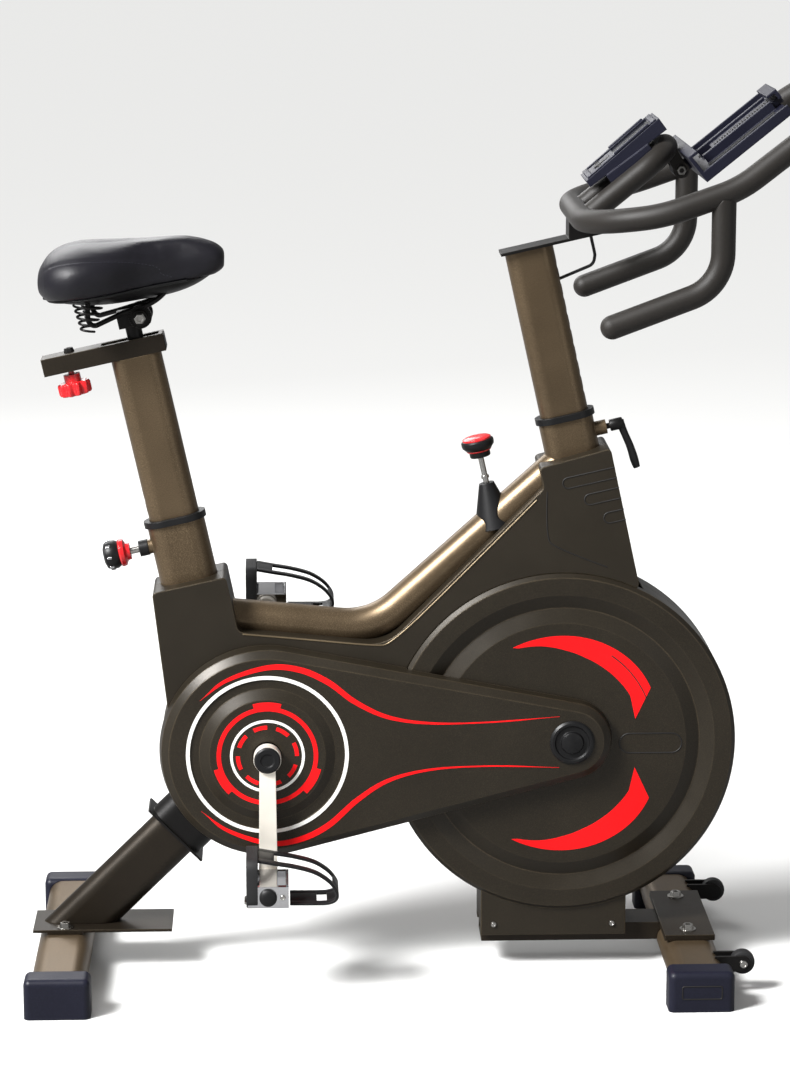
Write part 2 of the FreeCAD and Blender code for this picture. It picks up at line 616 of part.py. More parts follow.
def transport_wheel(label, side):
    half = "wheel_width / 2"
    bore = "wheel_pin_radius + run_gap"
    profile = [(bore, f"-{half}"), ("wheel_radius - 2", f"-{half}"), ("wheel_radius", f"-{half} + 3"),
               ("wheel_radius", f"{half} - 3"), ("wheel_radius - 2", half), (bore, half)]
    wheel = turned(label, profile, "crank_x + base_front + wheel_ahead", "wheel_height",
                   f"{side} * wheel_side")
    return named(wheel, label)


# covers

def fairing_solid(inset, side):
    """The centre fairing's outer or inner body: its side outline, drawn in by an inset."""
    seat = [("-sleeve_depth / 2 - 11", "seat_shroud_top"), ("sleeve_depth / 2 + 13", "seat_shroud_top"),
            ("sleeve_depth / 2 + 12", "seat_shroud_top - 80")]
    head = [("-neck_depth / 2 - 13", "head_shroud_top"), ("neck_depth / 2 + 12", "head_shroud_top + 5"),
            ("neck_depth / 2 + 11", "head_shroud_top - 190")]
    rear_top, front_top, shroud_foot = [tuple(worth(text) for text in spot("seat", *place))
                                        for place in seat]
    shroud = [tuple(worth(text) for text in spot("head", *place)) for place in head]
    x0, z0, radius = worth("crank_x"), worth("crank_z"), worth("fairing_radius")
    lip = (x0 + worth("top_tube_knee + lip_ahead"), z0 + worth("top_tube_low - lip_drop"))
    slope = math.tan(math.radians(worth("top_tube_slope")))
    rise = math.tan(math.radians(worth("lip_rise")))
    corner = (shroud_foot[0], lip[1] + (lip[0] - shroud_foot[0]) * slope)
    lip_top = (shroud[0][0] + 6, lip[1] + (shroud[0][0] + 6 - lip[0]) * rise)
    points = [rear_top, front_top, corner, lip, lip_top, shroud[0], shroud[1], shroud[2],
              (x0 + worth("cover_ahead"), z0), (x0, z0 - radius * 0.99), (x0 - radius * 0.93, z0 + 60)]
    corners = [6, 6, 12, 60, 8, 6, 6, 6, 6, 6, 6]
    face = outline_face(points, corners)
    face = face.makeOffset2D(-inset) if inset else face
    depth = worth("fairing_half") - inset
    disc = Part.makeCylinder(radius - inset, depth, Vector(x0, 0, z0), Vector(0, side, 0))
    return face.extrude(Vector(0, side * depth, 0)).fuse(disc).removeSplitter()


def frame_clearance():
    """What the covers leave room for: tubes, fork, shell, rod and the flywheel's shaft."""
    gap = "fit_gap"
    seat = lean(oval_tube("clear_seat", f"sleeve_depth + 2 * {gap}", f"sleeve_width + 2 * {gap}", "",
                          "sleeve_top + sleeve_foot + 40"), "seat", "0", "-sleeve_foot - 40")
    neck = lean(oval_tube("clear_neck", f"neck_depth + 2 * {gap}", f"neck_width + 2 * {gap}", "",
                          "neck_foot + 60"), "head", "0", "-neck_foot")
    leg = leg_place(oval_tube("clear_leg", f"leg_depth + 16 + 2 * {gap}", f"leg_width + 10 + 2 * {gap}", "",
                              "300"), "150")
    flange = leg_place(part("Box", Length="leg_flange_depth + 2", Width="leg_flange_width + 2",
                            Height="leg_flange_thick + 1"), "leg_collar_at")
    bind(flange, {"Placement.Base.x": "crank_x - leg_reach + (leg_collar_at - 0.5) * cos(leg_angle)"
                                      " - (leg_flange_depth / 2 + 1) * sin(leg_angle)",
                  "Placement.Base.y": "-leg_flange_width / 2 - 1",
                  "Placement.Base.z": "leg_base + (leg_collar_at - 0.5) * sin(leg_angle)"
                                      " + (leg_flange_depth / 2 + 1) * cos(leg_angle)"})
    spindle = cross_cylinder("spindle_radius + 9", "400", crank[0], "200", crank[1])
    tube = shaped("clear_top_tube", top_tube_clearance())
    rod = lean_rod_tool("cone_base + fit_gap", "-rod_drop - 90", "rod_drop + 90")
    return [seat, neck, leg, flange, spindle, tube, rod]


def top_tube_clearance(gap=None):
    slope = math.radians(worth("top_tube_slope"))
    rise = math.radians(worth("top_tube_rise"))
    knee = ahead("top_tube_knee", "0", "crank_z + top_tube_low")
    start = knee - Vector(math.cos(slope), 0, -math.sin(slope)) * worth("top_tube_knee + seat_setback")
    run = worth("head_ahead - top_tube_knee") / math.cos(rise)
    end = knee + Vector(math.cos(rise), 0, math.sin(rise)) * run
    gap = worth("fit_gap") if gap is None else gap
    return round_bar([start, knee, end], [worth("top_tube_bend")], worth("top_tube_radius") + gap)


def fairing(label, side):
    """One half of the centre fairing: a shell, open where the frame and the wheel cover are."""
    seam = Part.makeBox(4000, 0.2, 4000, Vector(-2000, -0.1, -2000))
    skin = fairing_solid(0, side).cut(fairing_solid(worth("fairing_wall"), side))
    shell = shaped(label + "_shell", skin.cut(seam))
    wheel = cross_cylinder("cover_radius + fit_gap", "400", cover_middle[0], "200", cover_middle[1])
    return named(cut(shell, *(frame_clearance() + [wheel])), label)


def wheel_cover(label, side):
    """One half of the round flywheel cover, with its skirt over the lower rail."""
    sign = "1" if side < 0 else "-1"
    face, wall, deep = "cover_half", "cover_wall", "groove_depth"
    middle = "(groove_outer + groove_inner) / 2"
    outer = [("0", "0.1"), ("cover_radius", "0.1"), ("cover_radius", f"{face} - 6"),
             ("cover_radius - 6", face), ("groove_outer", face), (middle, f"{face} - {deep}"),
             ("groove_inner", face), ("0", face)]
    hollow = [("0", "0"), (f"cover_radius - {wall}", "0"), (f"cover_radius - {wall}", f"{face} - 6 - {wall}"),
              (f"cover_radius - 6 - {wall}", f"{face} - {wall}"), (f"groove_outer - 1", f"{face} - {wall}"),
              (middle, f"{face} - {deep} - {wall}"), ("groove_inner + 1", f"{face} - {wall}"),
              ("0", f"{face} - {wall}")]

    def right(profile):
        return [(radius, f"{sign} * ({depth})") for radius, depth in profile]
    disc = turned(label + "_disc", right(outer), *cover_middle)
    core = turned(label + "_core", right(hollow), *cover_middle)
    start = "crank_x + skirt_ahead - skirt_length / 2"
    mid = f"{sign} * -skirt_half / 2"
    skirt = box("skirt_length", "skirt_half - 0.2", "150", start, mid, "skirt_foot")
    skirt = cut(skirt, cross_cylinder(f"cover_radius - {wall}", "2 * cover_half + 20", cover_middle[0],
                                      "cover_half + 10", cover_middle[1]))
    skirt_core = box(f"skirt_length - 2 * {wall}", f"2 * skirt_half - 2 * {wall}",
                     f"{cover_middle[1]} - groove_outer - 3 - skirt_foot + 20", f"{start} + {wall}", "0",
                     "skirt_foot - 20")
    rail = box("skirt_length + 200", "2 * rail_half + 2 * fit_gap", "60", f"{start} - 100", "0",
               "rail_foot + rail_height + fit_gap - 60")
    stays = box("120", "2 * (fork_inner + fork_thick) + 6", "44", "crank_x + cover_ahead - cover_radius - 60",
                "0", "crank_z - 20")
    crown = box("130", "2 * (fork_inner + fork_thick) + 6", "90", f"{axle[0]} - 30", "0",
                "crank_z + cover_rise + cover_radius - 60")
    shaft = cross_cylinder("shaft_radius + 4", "2 * cover_half + 40", axle[0], "cover_half + 20", axle[1])
    rod = brake_box("yoke_length + 14", "yoke_width + 6", "rod_drop + 60", "-rod_drop - press_travel - 50")
    neck = lean(oval_tube(label + "_neck", "neck_depth + 2 * fit_gap", "neck_width + 2 * fit_gap", "",
                          "neck_foot"), "head", "0", "-neck_foot")
    skin = cut(joined(disc, skirt), core, skirt_core, rail, stays, crown, rod, neck)
    if side < 0:
        skin = cut(skin, shaft)
    return named(skin, label)


def hull_face(big, small, inset=0):
    """A teardrop outline round the crank and the flywheel's shaft, drawn in by an inset."""
    x0, z0 = worth(crank[0]), worth(crank[1])
    x1, z1 = worth(axle[0]), worth(axle[1])
    big, small = big - inset, small - inset
    length = math.hypot(x1 - x0, z1 - z0)
    lean_by = math.atan2(z1 - z0, x1 - x0)
    spread = math.acos((big - small) / length)

    def point(x, z, radius, angle):
        return Vector(x + radius * math.cos(angle), 0, z + radius * math.sin(angle))
    upper, lower = lean_by + spread, lean_by - spread
    big_top, big_low = point(x0, z0, big, upper), point(x0, z0, big, lower)
    small_top, small_low = point(x1, z1, small, upper), point(x1, z1, small, lower)
    edges = [Part.Arc(big_top, point(x0, z0, big, lean_by + math.pi), big_low).toShape(),
             Part.LineSegment(big_low, small_low).toShape(),
             Part.Arc(small_low, point(x1, z1, small, lean_by), small_top).toShape(),
             Part.LineSegment(small_top, big_top).toShape()]
    return Part.Wire(edges)


def teardrop(big, small, near, far, bevel=0):
    """A solid between two Y planes on the right side; a bevel draws in the outer face."""
    base = hull_face(big, small)
    base.translate(Vector(0, -near, 0))
    if not bevel:
        return Part.Face(base).extrude(Vector(0, near - far, 0))
    shoulder = hull_face(big, small, bevel * 0.25)
    shoulder.translate(Vector(0, -(far - bevel * 0.6), 0))
    face = hull_face(big, small, bevel)
    face.translate(Vector(0, -far, 0))
    return Part.makeLoft([base, shoulder], True, True).fuse(Part.makeLoft([shoulder, face], True, True))


def belt_cover_piece():
    """The teardrop belt cover: a shell open towards the frame, with a round window for the disc."""
    big, small, bevel = worth("belt_cover_radius"), worth("belt_cover_nose"), worth("belt_cover_bevel")
    wall, face = worth("belt_cover_wall"), worth("belt_cover_face")
    near = worth("fairing_half + fit_gap")
    outer = teardrop(big, small, near, face, bevel)
    inner = teardrop(big - wall, small - wall, near - 1, face - wall, bevel)
    shell = shaped("belt_cover_shell", outer.cut(inner))
    wheel = put(cylinder("cover_radius + fit_gap", "cover_half + fit_gap"), cover_middle[0], "0",
                cover_middle[1], (1, 0, 0), "90")
    window = cross_cylinder("disc_radius + fit_gap", "200", crank[0], "-fairing_half - 6", crank[1])
    return named(cut(shell, wheel, window), "belt_cover")


def disc_profile(face, rim):
    """A dished cover disc round the crank: rim, groove, bevel and flat face."""
    wall = "disc_wall"
    bore = "arm_hub_radius + 1"
    return [(bore, face), ("disc_radius - 31", face), ("disc_radius - 17", f"{rim} - 2"),
            ("disc_radius - 4", f"{rim} - 2"), ("disc_radius - 1.5", rim), ("disc_radius", rim),
            ("disc_radius", f"{rim} - 5"), ("disc_radius - 4", f"{rim} - 2 - {wall}"),
            ("disc_radius - 17 - 1", f"{rim} - 2 - {wall}"), ("disc_radius - 31 - 1", f"{face} - {wall}"),
            (bore, f"{face} - {wall}")]


def crank_discs():
    right = turned("crank_disc_right", disc_profile("disc_face", "belt_cover_face"), *crank)
    named(right, "crank_disc_right")
    wall, rim = "cover_wall", "fairing_half + fit_gap"
    bore = "arm_hub_radius + 1"
    left = [(bore, "-left_disc_face"), ("disc_radius - 31", "-left_disc_face"),
            ("disc_radius", f"-({rim}) - 8"),
            ("disc_radius", f"-({rim})"), (f"disc_radius - {wall}", f"-({rim})"),
            (f"disc_radius - {wall}", f"-({rim}) - 6"), (f"disc_radius - 32", f"-left_disc_face + {wall}"),
            (bore, f"-left_disc_face + {wall}")]
    named(turned("crank_disc_left", left, *crank), "crank_disc_left")


# drive

def crank_set():
    spindle = cross_cylinder("spindle_radius", "2 * spindle_half", crank[0], "spindle_half", crank[1])
    named(joined(spindle, cross_cylinder("spindle_radius + 2", "6", crank[0], "-shell_half - 0.3", crank[1])),
          "crank_spindle")
    near, far = "belt_plane - belt_width / 2", "belt_plane + belt_width / 2"
    bore = "spindle_radius + run_gap"
    pulley = [(bore, "belt_plane - 9"), ("24", "belt_plane - 9"), ("24", "belt_plane - 2"),
              ("drive_pulley_radius - 12", "belt_plane - 2"), ("drive_pulley_radius - 12", near),
              ("drive_pulley_radius", near), ("drive_pulley_radius", far), ("drive_pulley_radius - 12", far),
              ("drive_pulley_radius - 12", "belt_plane + 2"), ("24", "belt_plane + 2"),
              ("24", "belt_plane + 9"), (bore, "belt_plane + 9")]
    named(turned("drive_pulley", pulley, *crank), "drive_pulley")
    crank_arm("crank_arm_right", "-1")
    crank_arm("crank_arm_left", "1")


def crank_arm(label, side):
    """A forged arm with its boss and pedal axle; the right one points down, the left one up."""
    middle = f"{side} * (arm_inner + arm_thick / 2)"
    tip_z = f"crank_z + {side} * crank_length"
    hub = cross_cylinder("arm_hub_radius", "arm_thick + 3", crank[0], f"{middle} + arm_thick / 2 + 1.5",
                         crank[1])
    tip = cross_cylinder("arm_tip_radius", "arm_thick", crank[0], f"{middle} + arm_thick / 2", tip_z)
    upper, lower = ("11", "13") if side == "-1" else ("13", "11")
    top, foot = ("crank_z", tip_z) if side == "-1" else (tip_z, "crank_z")
    outline = [(f"crank_x - {upper}", top), (f"crank_x + {upper}", top),
               (f"crank_x + {lower}", foot), (f"crank_x - {lower}", foot)]
    web = slab(label + "_web", outline, "arm_thick", offset=f"-({middle})")
    start = f"{middle} - arm_thick / 2" if side == "-1" else f"{middle} + arm_thick / 2 + pedal_axle_length"
    peg = cross_cylinder("pedal_axle_radius", "pedal_axle_length", crank[0], start, tip_z)
    washer_y = f"{middle} - arm_thick / 2" if side == "-1" else f"{middle} + arm_thick / 2 + pedal_gap - 0.3"
    washer = cross_cylinder("pedal_axle_radius + 4", "pedal_gap - 0.3", crank[0], washer_y, tip_z)
    hole_y = f"{side} * (arm_inner - 2)" if side == "1" else f"-arm_inner + 2"
    depth = "spindle_half - arm_inner + 2.2"
    start_y = "spindle_half + 0.2" if side == "1" else "-arm_inner + 2"
    hole = cross_cylinder("spindle_radius + run_gap", depth, crank[0], start_y, crank[1])
    return named(cut(joined(hub, tip, web, peg, washer), hole), label)


def flywheel_set():
    bore = "shaft_radius + run_gap"
    rim, half = "flywheel_radius", "flywheel_half"
    profile = [(bore, "-20"), ("30", "-20"), ("30", "-4"), (f"{rim} - 42", "-4"), (f"{rim} - 42", f"-{half}"),
               (rim, f"-{half}"), (rim, half), (f"{rim} - 42", half), (f"{rim} - 42", "4"), ("30", "4"),
               ("30", "20"), (bore, "20")]
    named(turned("flywheel", profile, *axle), "flywheel")
    near, far = "belt_plane - belt_width / 2", "belt_plane + belt_width / 2"
    shaft = [("0", "-fork_inner - fork_thick - 4"), ("shaft_radius", "-fork_inner - fork_thick - 4"),
             ("shaft_radius", near), ("small_pulley_radius", near), ("small_pulley_radius", far), ("0", far)]
    named(turned("flywheel_shaft", shaft, *axle), "flywheel_shaft")


def drive_belt_piece():
    gap, thick = worth("fit_gap"), worth("belt_thick")
    big, small = worth("drive_pulley_radius") + gap, worth("small_pulley_radius") + gap
    near, far = worth("belt_plane - belt_width / 2 + 1"), worth("belt_plane + belt_width / 2 - 1")
    outer = teardrop(big + thick, small + thick, near, far)
    return named(shaped("belt", outer.cut(teardrop(big, small, near - 1, far + 1))), "drive_belt")


def pedal_set(name, side):
    """A pedal body on its axle, then its toe cage and strap."""
    x, z = "crank_x", f"crank_z + {side} * crank_length"
    inner = "arm_inner + arm_thick + pedal_gap"
    middle = f"{side} * ({inner} + pedal_width / 2)"
    body = box("pedal_length", "pedal_width", "pedal_height", f"{x} - pedal_length / 2", middle,
               f"{z} - pedal_height / 2")
    for_axle = cross_cylinder("pedal_axle_radius + run_gap", "pedal_width + 2", x,
                              f"{middle} + pedal_width / 2 + 1", z)
    pockets = []
    for shift in ("12", "-pedal_length / 2 + 4"):
        pockets.append(box("pedal_length / 2 - 16", "pedal_width - 16", "pedal_height + 2", f"{x} + {shift}",
                           middle, f"{z} - pedal_height / 2 - 1"))
    named(cut(body, for_axle, *pockets), "pedal_" + name)
    front, top, thick = "pedal_length / 2 + 0.1", "cage_height", "cage_thick"
    lower = "-pedal_height / 2"
    band_height = f"{top} + pedal_height / 2"
    outline = [(front, lower), ("cage_reach - 12", lower), ("cage_reach", f"{lower} + 12"),
               ("cage_reach - 26", f"{top} - 16"), ("-strap_back", top), ("-strap_back", f"{top} - {thick}"),
               (f"cage_reach - 29", f"{top} - 17 - {thick}"), (f"cage_reach - {thick}", f"{lower} + 14"),
               (f"cage_reach - 14", f"{lower} + {thick}"), (f"{front} + 4", f"{lower} + {thick}"),
               (f"{front} + 4", "pedal_height / 2"), (front, "pedal_height / 2")]
    placed = [(f"{x} + {px}", f"{z} + {pz}") for px, pz in outline]
    cage = slab("toe_cage_blank", placed, "pedal_width - 22", offset=f"-({middle})")
    window = box("60", "pedal_width - 46", "200", f"{x} + cage_reach - 72", middle, f"{z} - 60")
    band = box("strap_width", "pedal_width + 2 * strap_thick + 0.4", f"{band_height} + 2 * strap_thick + 0.4",
               f"{x} - strap_width - strap_back", middle, f"{z} - pedal_height / 2 - strap_thick - 0.2")
    band_hole = box("strap_width + 2", "pedal_width + 0.4", f"{band_height} + 0.4",
                    f"{x} - strap_width - strap_back - 1", middle, f"{z} - pedal_height / 2 - 0.2")
    return named(joined(cut(cage, window), cut(band, band_hole)), "toe_cage_" + name)


# seat

def seat_post_piece():
    tube = oval_tube("seat_post_tube", "post_depth", "post_width", "post_wall", "post_top - post_foot - 0.1")
    lean(tube, "seat", "0", "post_foot")
    holes = []
    for step in range(7):
        hole = cylinder("hole_radius", "12")
        x, z = spot("seat", "-post_depth / 2 - 4", f"pin_along - 3 * hole_pitch + {step} * hole_pitch")
        holes.append(put(hole, x, "0", z, (0, 1, 0), "90 - seat_lean"))
    return named(cut(tube, *holes), "seat_post")


def slider_sleeve_piece():
    """The box tube on the post; the saddle's carriage slides in it."""
    rear = "slider_ahead - slider_length"
    outer = lean_box("seat", "slider_length", "slider_width", "slider_height", rear, "post_top")
    inner = lean_box("seat", "slider_length + 2", "slider_width - 2 * slider_wall",
                     "slider_height - 2 * slider_wall", f"{rear} - 1", "post_top + slider_wall")
    slot = lean_box("seat", "slot_back + slot_ahead", "2 * pillar_radius + 2", "20",
                    "pillar_across - slot_back", "post_top + slider_height - 10")
    stud = lean(cylinder("wheel_pin_radius + run_gap", "12"), "seat", "-slider_knob_back", "post_top - 5")
    return named(cut(outer, inner, slot, stud), "slider_sleeve")


def seat_carriage_piece():
    gap = "fit_gap"
    width = f"slider_width - 2 * slider_wall - 2 * {gap}"
    height = f"slider_height - 2 * slider_wall - 2 * {gap}"
    bar = lean_box("seat", "carriage_length", width, height, "pillar_across + 17 - carriage_length",
                   f"post_top + slider_wall + {gap}")
    pillar = lean(cylinder("pillar_radius", "pillar_top - post_top - slider_height / 2"), "seat",
                  "pillar_across", "post_top + slider_height / 2")
    return named(joined(bar, pillar), "seat_carriage")


def slider_knob_piece():
    """A star knob under the slider; its stud presses on the carriage."""
    top = "post_top - 6"
    disc = cylinder("slider_knob_radius - 4", "slider_knob_height - 10")
    lean(disc, "seat", "-slider_knob_back", f"{top} - slider_knob_height")
    neck = lean(cylinder("10", "10"), "seat", "-slider_knob_back", f"{top} - 10")
    stud = lean(cylinder("wheel_pin_radius", "6 + slider_wall + 0.1"), "seat", "-slider_knob_back",
                f"{top} - 0.1")
    points = []
    for step in range(8):
        angle = 45 * step
        lobe = cylinder("4", "slider_knob_height - 10")
        across = f"-slider_knob_back + (slider_knob_radius - 4) * cos({angle})"
        points.append(lean(lobe, "seat", across, f"{top} - slider_knob_height",
                           f"(slider_knob_radius - 4) * sin({angle})"))
    return named(joined(disc, neck, stud, *points), "slider_knob")


def clamp_x_z():
    return spot("seat", "clamp_across", "clamp_along")


def saddle_clamp_piece():
    """The clamp on the pillar, with the cross bolt that the saddle tilts on."""
    x, z = clamp_x_z()
    block = lean_box("seat", "44", "2 * clamp_half", "22", "pillar_across - 18", "clamp_along - 12")
    bore = lean(cylinder("pillar_radius + run_gap", "100"), "seat", "pillar_across", "clamp_along - 60")
    bolt = cross_cylinder("clamp_bolt_radius", "2 * (rail_rod_side + 14)", x, "rail_rod_side + 14", z)
    heads = [cross_cylinder("10", "5", x, side, z) for side in ("rail_rod_side + 14", "-rail_rod_side - 9")]
    return named(cut(joined(block, bolt, *heads), bore), "saddle_clamp")


def saddle_rods(grow="0"):
    """Two bent rods: from the pan's rear, down, through the clamp and up under the nose."""
    x, z = [worth(text) for text in clamp_x_z()]
    floor, side = worth("saddle_floor"), worth("rail_rod_side")
    rear, front = worth("crank_x - saddle_tail + 70"), worth("crank_x - saddle_tail + 172")
    wide = worth("saddle_width * 0.28")
    rods = []
    for sign in (-1, 1):
        points = [Vector(rear, sign * wide, floor + 2), Vector(rear, sign * wide, floor - 34),
                  Vector(x - 24, sign * (side + 1), z + 5), Vector(x + 20, sign * side, z + 19),
                  Vector(front, sign * (side - 6), z + 32), Vector(front + 3, sign * (side - 6), floor + 14)]
        rod = round_bar(points, [12, 22, 60, 8], worth(f"rail_rod_radius + {grow}"))
        rods.append(shaped("saddle_rod", rod))
    return joined(*rods)


def saddle_rails_piece():
    """The rods and their round cradles on the cross bolt."""
    x, z = clamp_x_z()
    ears = [cross_cylinder("ear_radius", "7", x, f"{sign} * rail_rod_side + 3.5", z) for sign in ("-1", "1")]
    bolt = cross_cylinder("clamp_bolt_radius + run_gap", "100", x, "50", z)
    return named(cut(joined(saddle_rods(), *ears), bolt), "saddle_rails")


def saddle_section(x, half, low, high):
    """A rounded cross-section of the saddle at one X."""
    middle, tall = (low + high) / 2, (high - low) / 2
    wide, up = Vector(0, half, 0), Vector(0, 0, tall)
    centre = Vector(x, 0, middle)
    if half >= tall:
        curve = Part.Ellipse(centre + wide, centre + up, centre)
    else:
        curve = Part.Ellipse(centre + up, centre - wide, centre)
    return Part.Wire(curve.toShape())


def saddle_solid():
    x0 = worth("crank_x - saddle_tail")
    length, floor = worth("saddle_length"), worth("saddle_floor")
    wide, nose = worth("saddle_width") / 2, worth("saddle_nose_width") / 2
    stations = [(0.0, wide * 0.45, 12, 42), (0.06, wide * 0.78, 0, 63), (0.2, wide, -6, 77),
                (0.38, wide * 0.88, -6, 79),
                (0.56, wide * 0.55, 0, 82), (0.72, nose * 1.15, 8, 86), (0.88, nose * 0.95, 26, 84),
                (1.0, nose * 0.5, 46, 70)]
    wires = [saddle_section(x0 + share * length, half, floor + low, floor + high)
             for share, half, low, high in stations]
    return Part.makeLoft(wires, True, False)


def saddle_pieces():
    """The padded cushion on its pan; both are cut at the pan's level."""
    body = saddle_solid()
    hinge = Vector(worth("crank_x - saddle_tail + saddle_length * 0.3"), 0,
                   worth("saddle_floor + 6 + pan_thick"))
    gap = 0.2
    below = Part.makeBox(800, 800, 400, Vector(-400, -400, -400))
    below.Placement = Placement(hinge, Rotation(Vector(0, -1, 0), worth("pan_slope")))
    above = Part.makeBox(800, 800, 400, Vector(-400, -400, 0))
    above.Placement = Placement(hinge - Vector(0, 0, gap), Rotation(Vector(0, -1, 0), worth("pan_slope")))
    named(shaped("cushion", body.cut(below)), "saddle_cushion")
    named(cut(shaped("pan", body.cut(above)), saddle_rods("0.1")), "saddle_base")


def seat_pin_piece():
    """The pull knob: its pin passes the boss and stops just short of the post."""
    face = "-sleeve_depth / 2 - pin_boss_length"
    tip = "-post_depth / 2 - fit_gap"
    turn = "90 - seat_lean"
    knob_start = f"{face} - pin_travel - 6 - pin_knob_length"

    def along_pin(radius, start, length):
        x, z = spot("seat", start, "pin_along")
        return put(cylinder(radius, length), x, "0", z, (0, 1, 0), turn)
    pin = along_pin("pin_radius", f"{face} - pin_travel - 6.1", f"{tip} - ({face}) + pin_travel + 6.1")
    disc = along_pin("pin_knob_radius", knob_start, "pin_knob_length - 10")
    neck = along_pin("12", f"{knob_start} + pin_knob_length - 10.1", "10.1")
    return named(joined(pin, disc, neck), "seat_pin")


# handlebar

def handlebar_post_piece():
    tube = oval_tube("stem_tube", "stem_depth", "stem_width", "stem_wall", "stem_top + stem_foot")
    lean(tube, "head", "0", "-stem_foot")
    holes = []
    for step in range(9):
        hole = cylinder("hole_radius", "12")
        x, z = spot("head", "stem_depth / 2 - 8", f"30 + {step} * hole_pitch")
        holes.append(put(hole, x, "0", z, (0, 1, 0), "90 - head_lean"))
    return named(cut(tube, *holes), "handlebar_post")


def post_plate_piece():
    """The cap plate on the post, with a cradle that carries the handlebar."""
    plate = lean_box("head", "plate_length", "plate_width", "plate_thick", "-stem_depth / 2 - 6",
                     "stem_top + 0.1")
    bar_x, bar_z = "crank_x + bar_ahead", "bar_z"
    cradle = box("30", "plate_width", "30", f"{bar_x} - 12", "0", f"{bar_z} - 36")
    bar = cross_cylinder("bar_radius + 0.1", "200", bar_x, "100", bar_z)
    under = lean_box("head", "200", "200", "60", "-100", "stem_top - 59.9")
    return named(joined(plate, cut(cradle, bar, under)), "post_plate")


def mirrored(points):
    return [Vector(point.x, -point.y, point.z) for point in reversed(points)] + points[1:]


def handlebar_pieces():
    radius = worth("bar_radius")
    half = [ahead("bar_ahead", "0", "bar_z"), ahead("bar_ahead", "bar_corner_side", "bar_z"),
            ahead("arm_ahead", "arm_side", "arm_z"), ahead("horn_low_ahead", "arm_side", "horn_low_z"),
            ahead("horn_high_ahead", "arm_side - 6", "horn_high_z"),
            ahead("horn_tip_ahead", "horn_tip_side", "horn_tip_z")]
    points = mirrored(half)
    middle = len(half) - 1
    del points[middle]
    bends = [120, 160, 120, worth("corner_bend")]
    bar = round_bar(points, bends + bends[::-1], radius)
    tips = [Part.makeSphere(radius, point) for point in (points[0], points[-1])]
    whole = bar.fuse(tips)
    named(shaped("bar", whole), "handlebar")
    drops = []
    start_z = worth("(arm_z + horn_low_z) / 2 + 4")
    for side in (-1, 1):
        y = side * worth("arm_side")
        top = Vector(worth("crank_x + drop_ahead"), y, start_z)
        turn = Vector(top.x, y, worth("drop_foot_z"))
        end = Vector(worth("crank_x + drop_end_ahead"), y, worth("drop_end_z"))
        turn.z = end.z + (turn.x - end.x) * math.tan(math.radians(20.5))
        drop = round_bar([top, turn, end], [worth("drop_bend")], worth("drop_radius"))
        drops.append(drop.fuse(Part.makeSphere(worth("drop_radius"), end)).cut(whole))
    solids = [max(drop.Solids, key=lambda solid: solid.Volume) for drop in drops]
    named(shaped("drops", Part.makeCompound(solids)), "drop_bars")
    return whole


def on_slope(thing, x, z, slope, along="0", out="0", side="0"):
    """Place a piece on a rising plane: its X runs up the slope, its Z out of it."""
    px = f"{x} + ({along}) * cos({slope}) - ({out}) * sin({slope})"
    pz = f"{z} + ({along}) * sin({slope}) + ({out}) * cos({slope})"
    return put(thing, px, side, pz, (0, -1, 0), slope)


def slope_box(x, z, slope, length, width, height, along="0", out="0", side="0"):
    shape = part("Box", Length=length, Width=width, Height=height)
    return on_slope(shape, x, z, slope, along, out, f"{side} - ({width}) / 2")


def console_pieces():
    """A wedge-shaped display on two pads that stand on the loop."""
    place = ("crank_x + console_ahead", "console_z", "console_slope")
    deep = "console_thick + console_rise"
    case = slab("console_case", [("0", "0"), ("console_length", "0"), ("console_length", deep),
                                 ("0", "console_thick")], "console_width")
    on_slope(case, *place)
    pocket = slope_box(*place, "26", "14", "14", "20", "console_thick - button_travel - 3")
    pads = [slope_box(*place, "70", "16", "40", "26", "-39.9", side)
            for side in ("loop_side - 14", "14 - loop_side")]
    loop = shaped("console_cope", loop_bar(0.1))
    low = slope_box("crank_x + bar_ahead", "bar_z - loop_drop", "loop_slope", "400", "200", "60",
                    "-60", "-60")
    named(joined(cut(case, pocket), cut(joined(*pads), loop, low)), "console")
    named(slope_box(*place, "25.4", "13.4", "6", "20.3", "console_thick - 2.5"), "console_button")


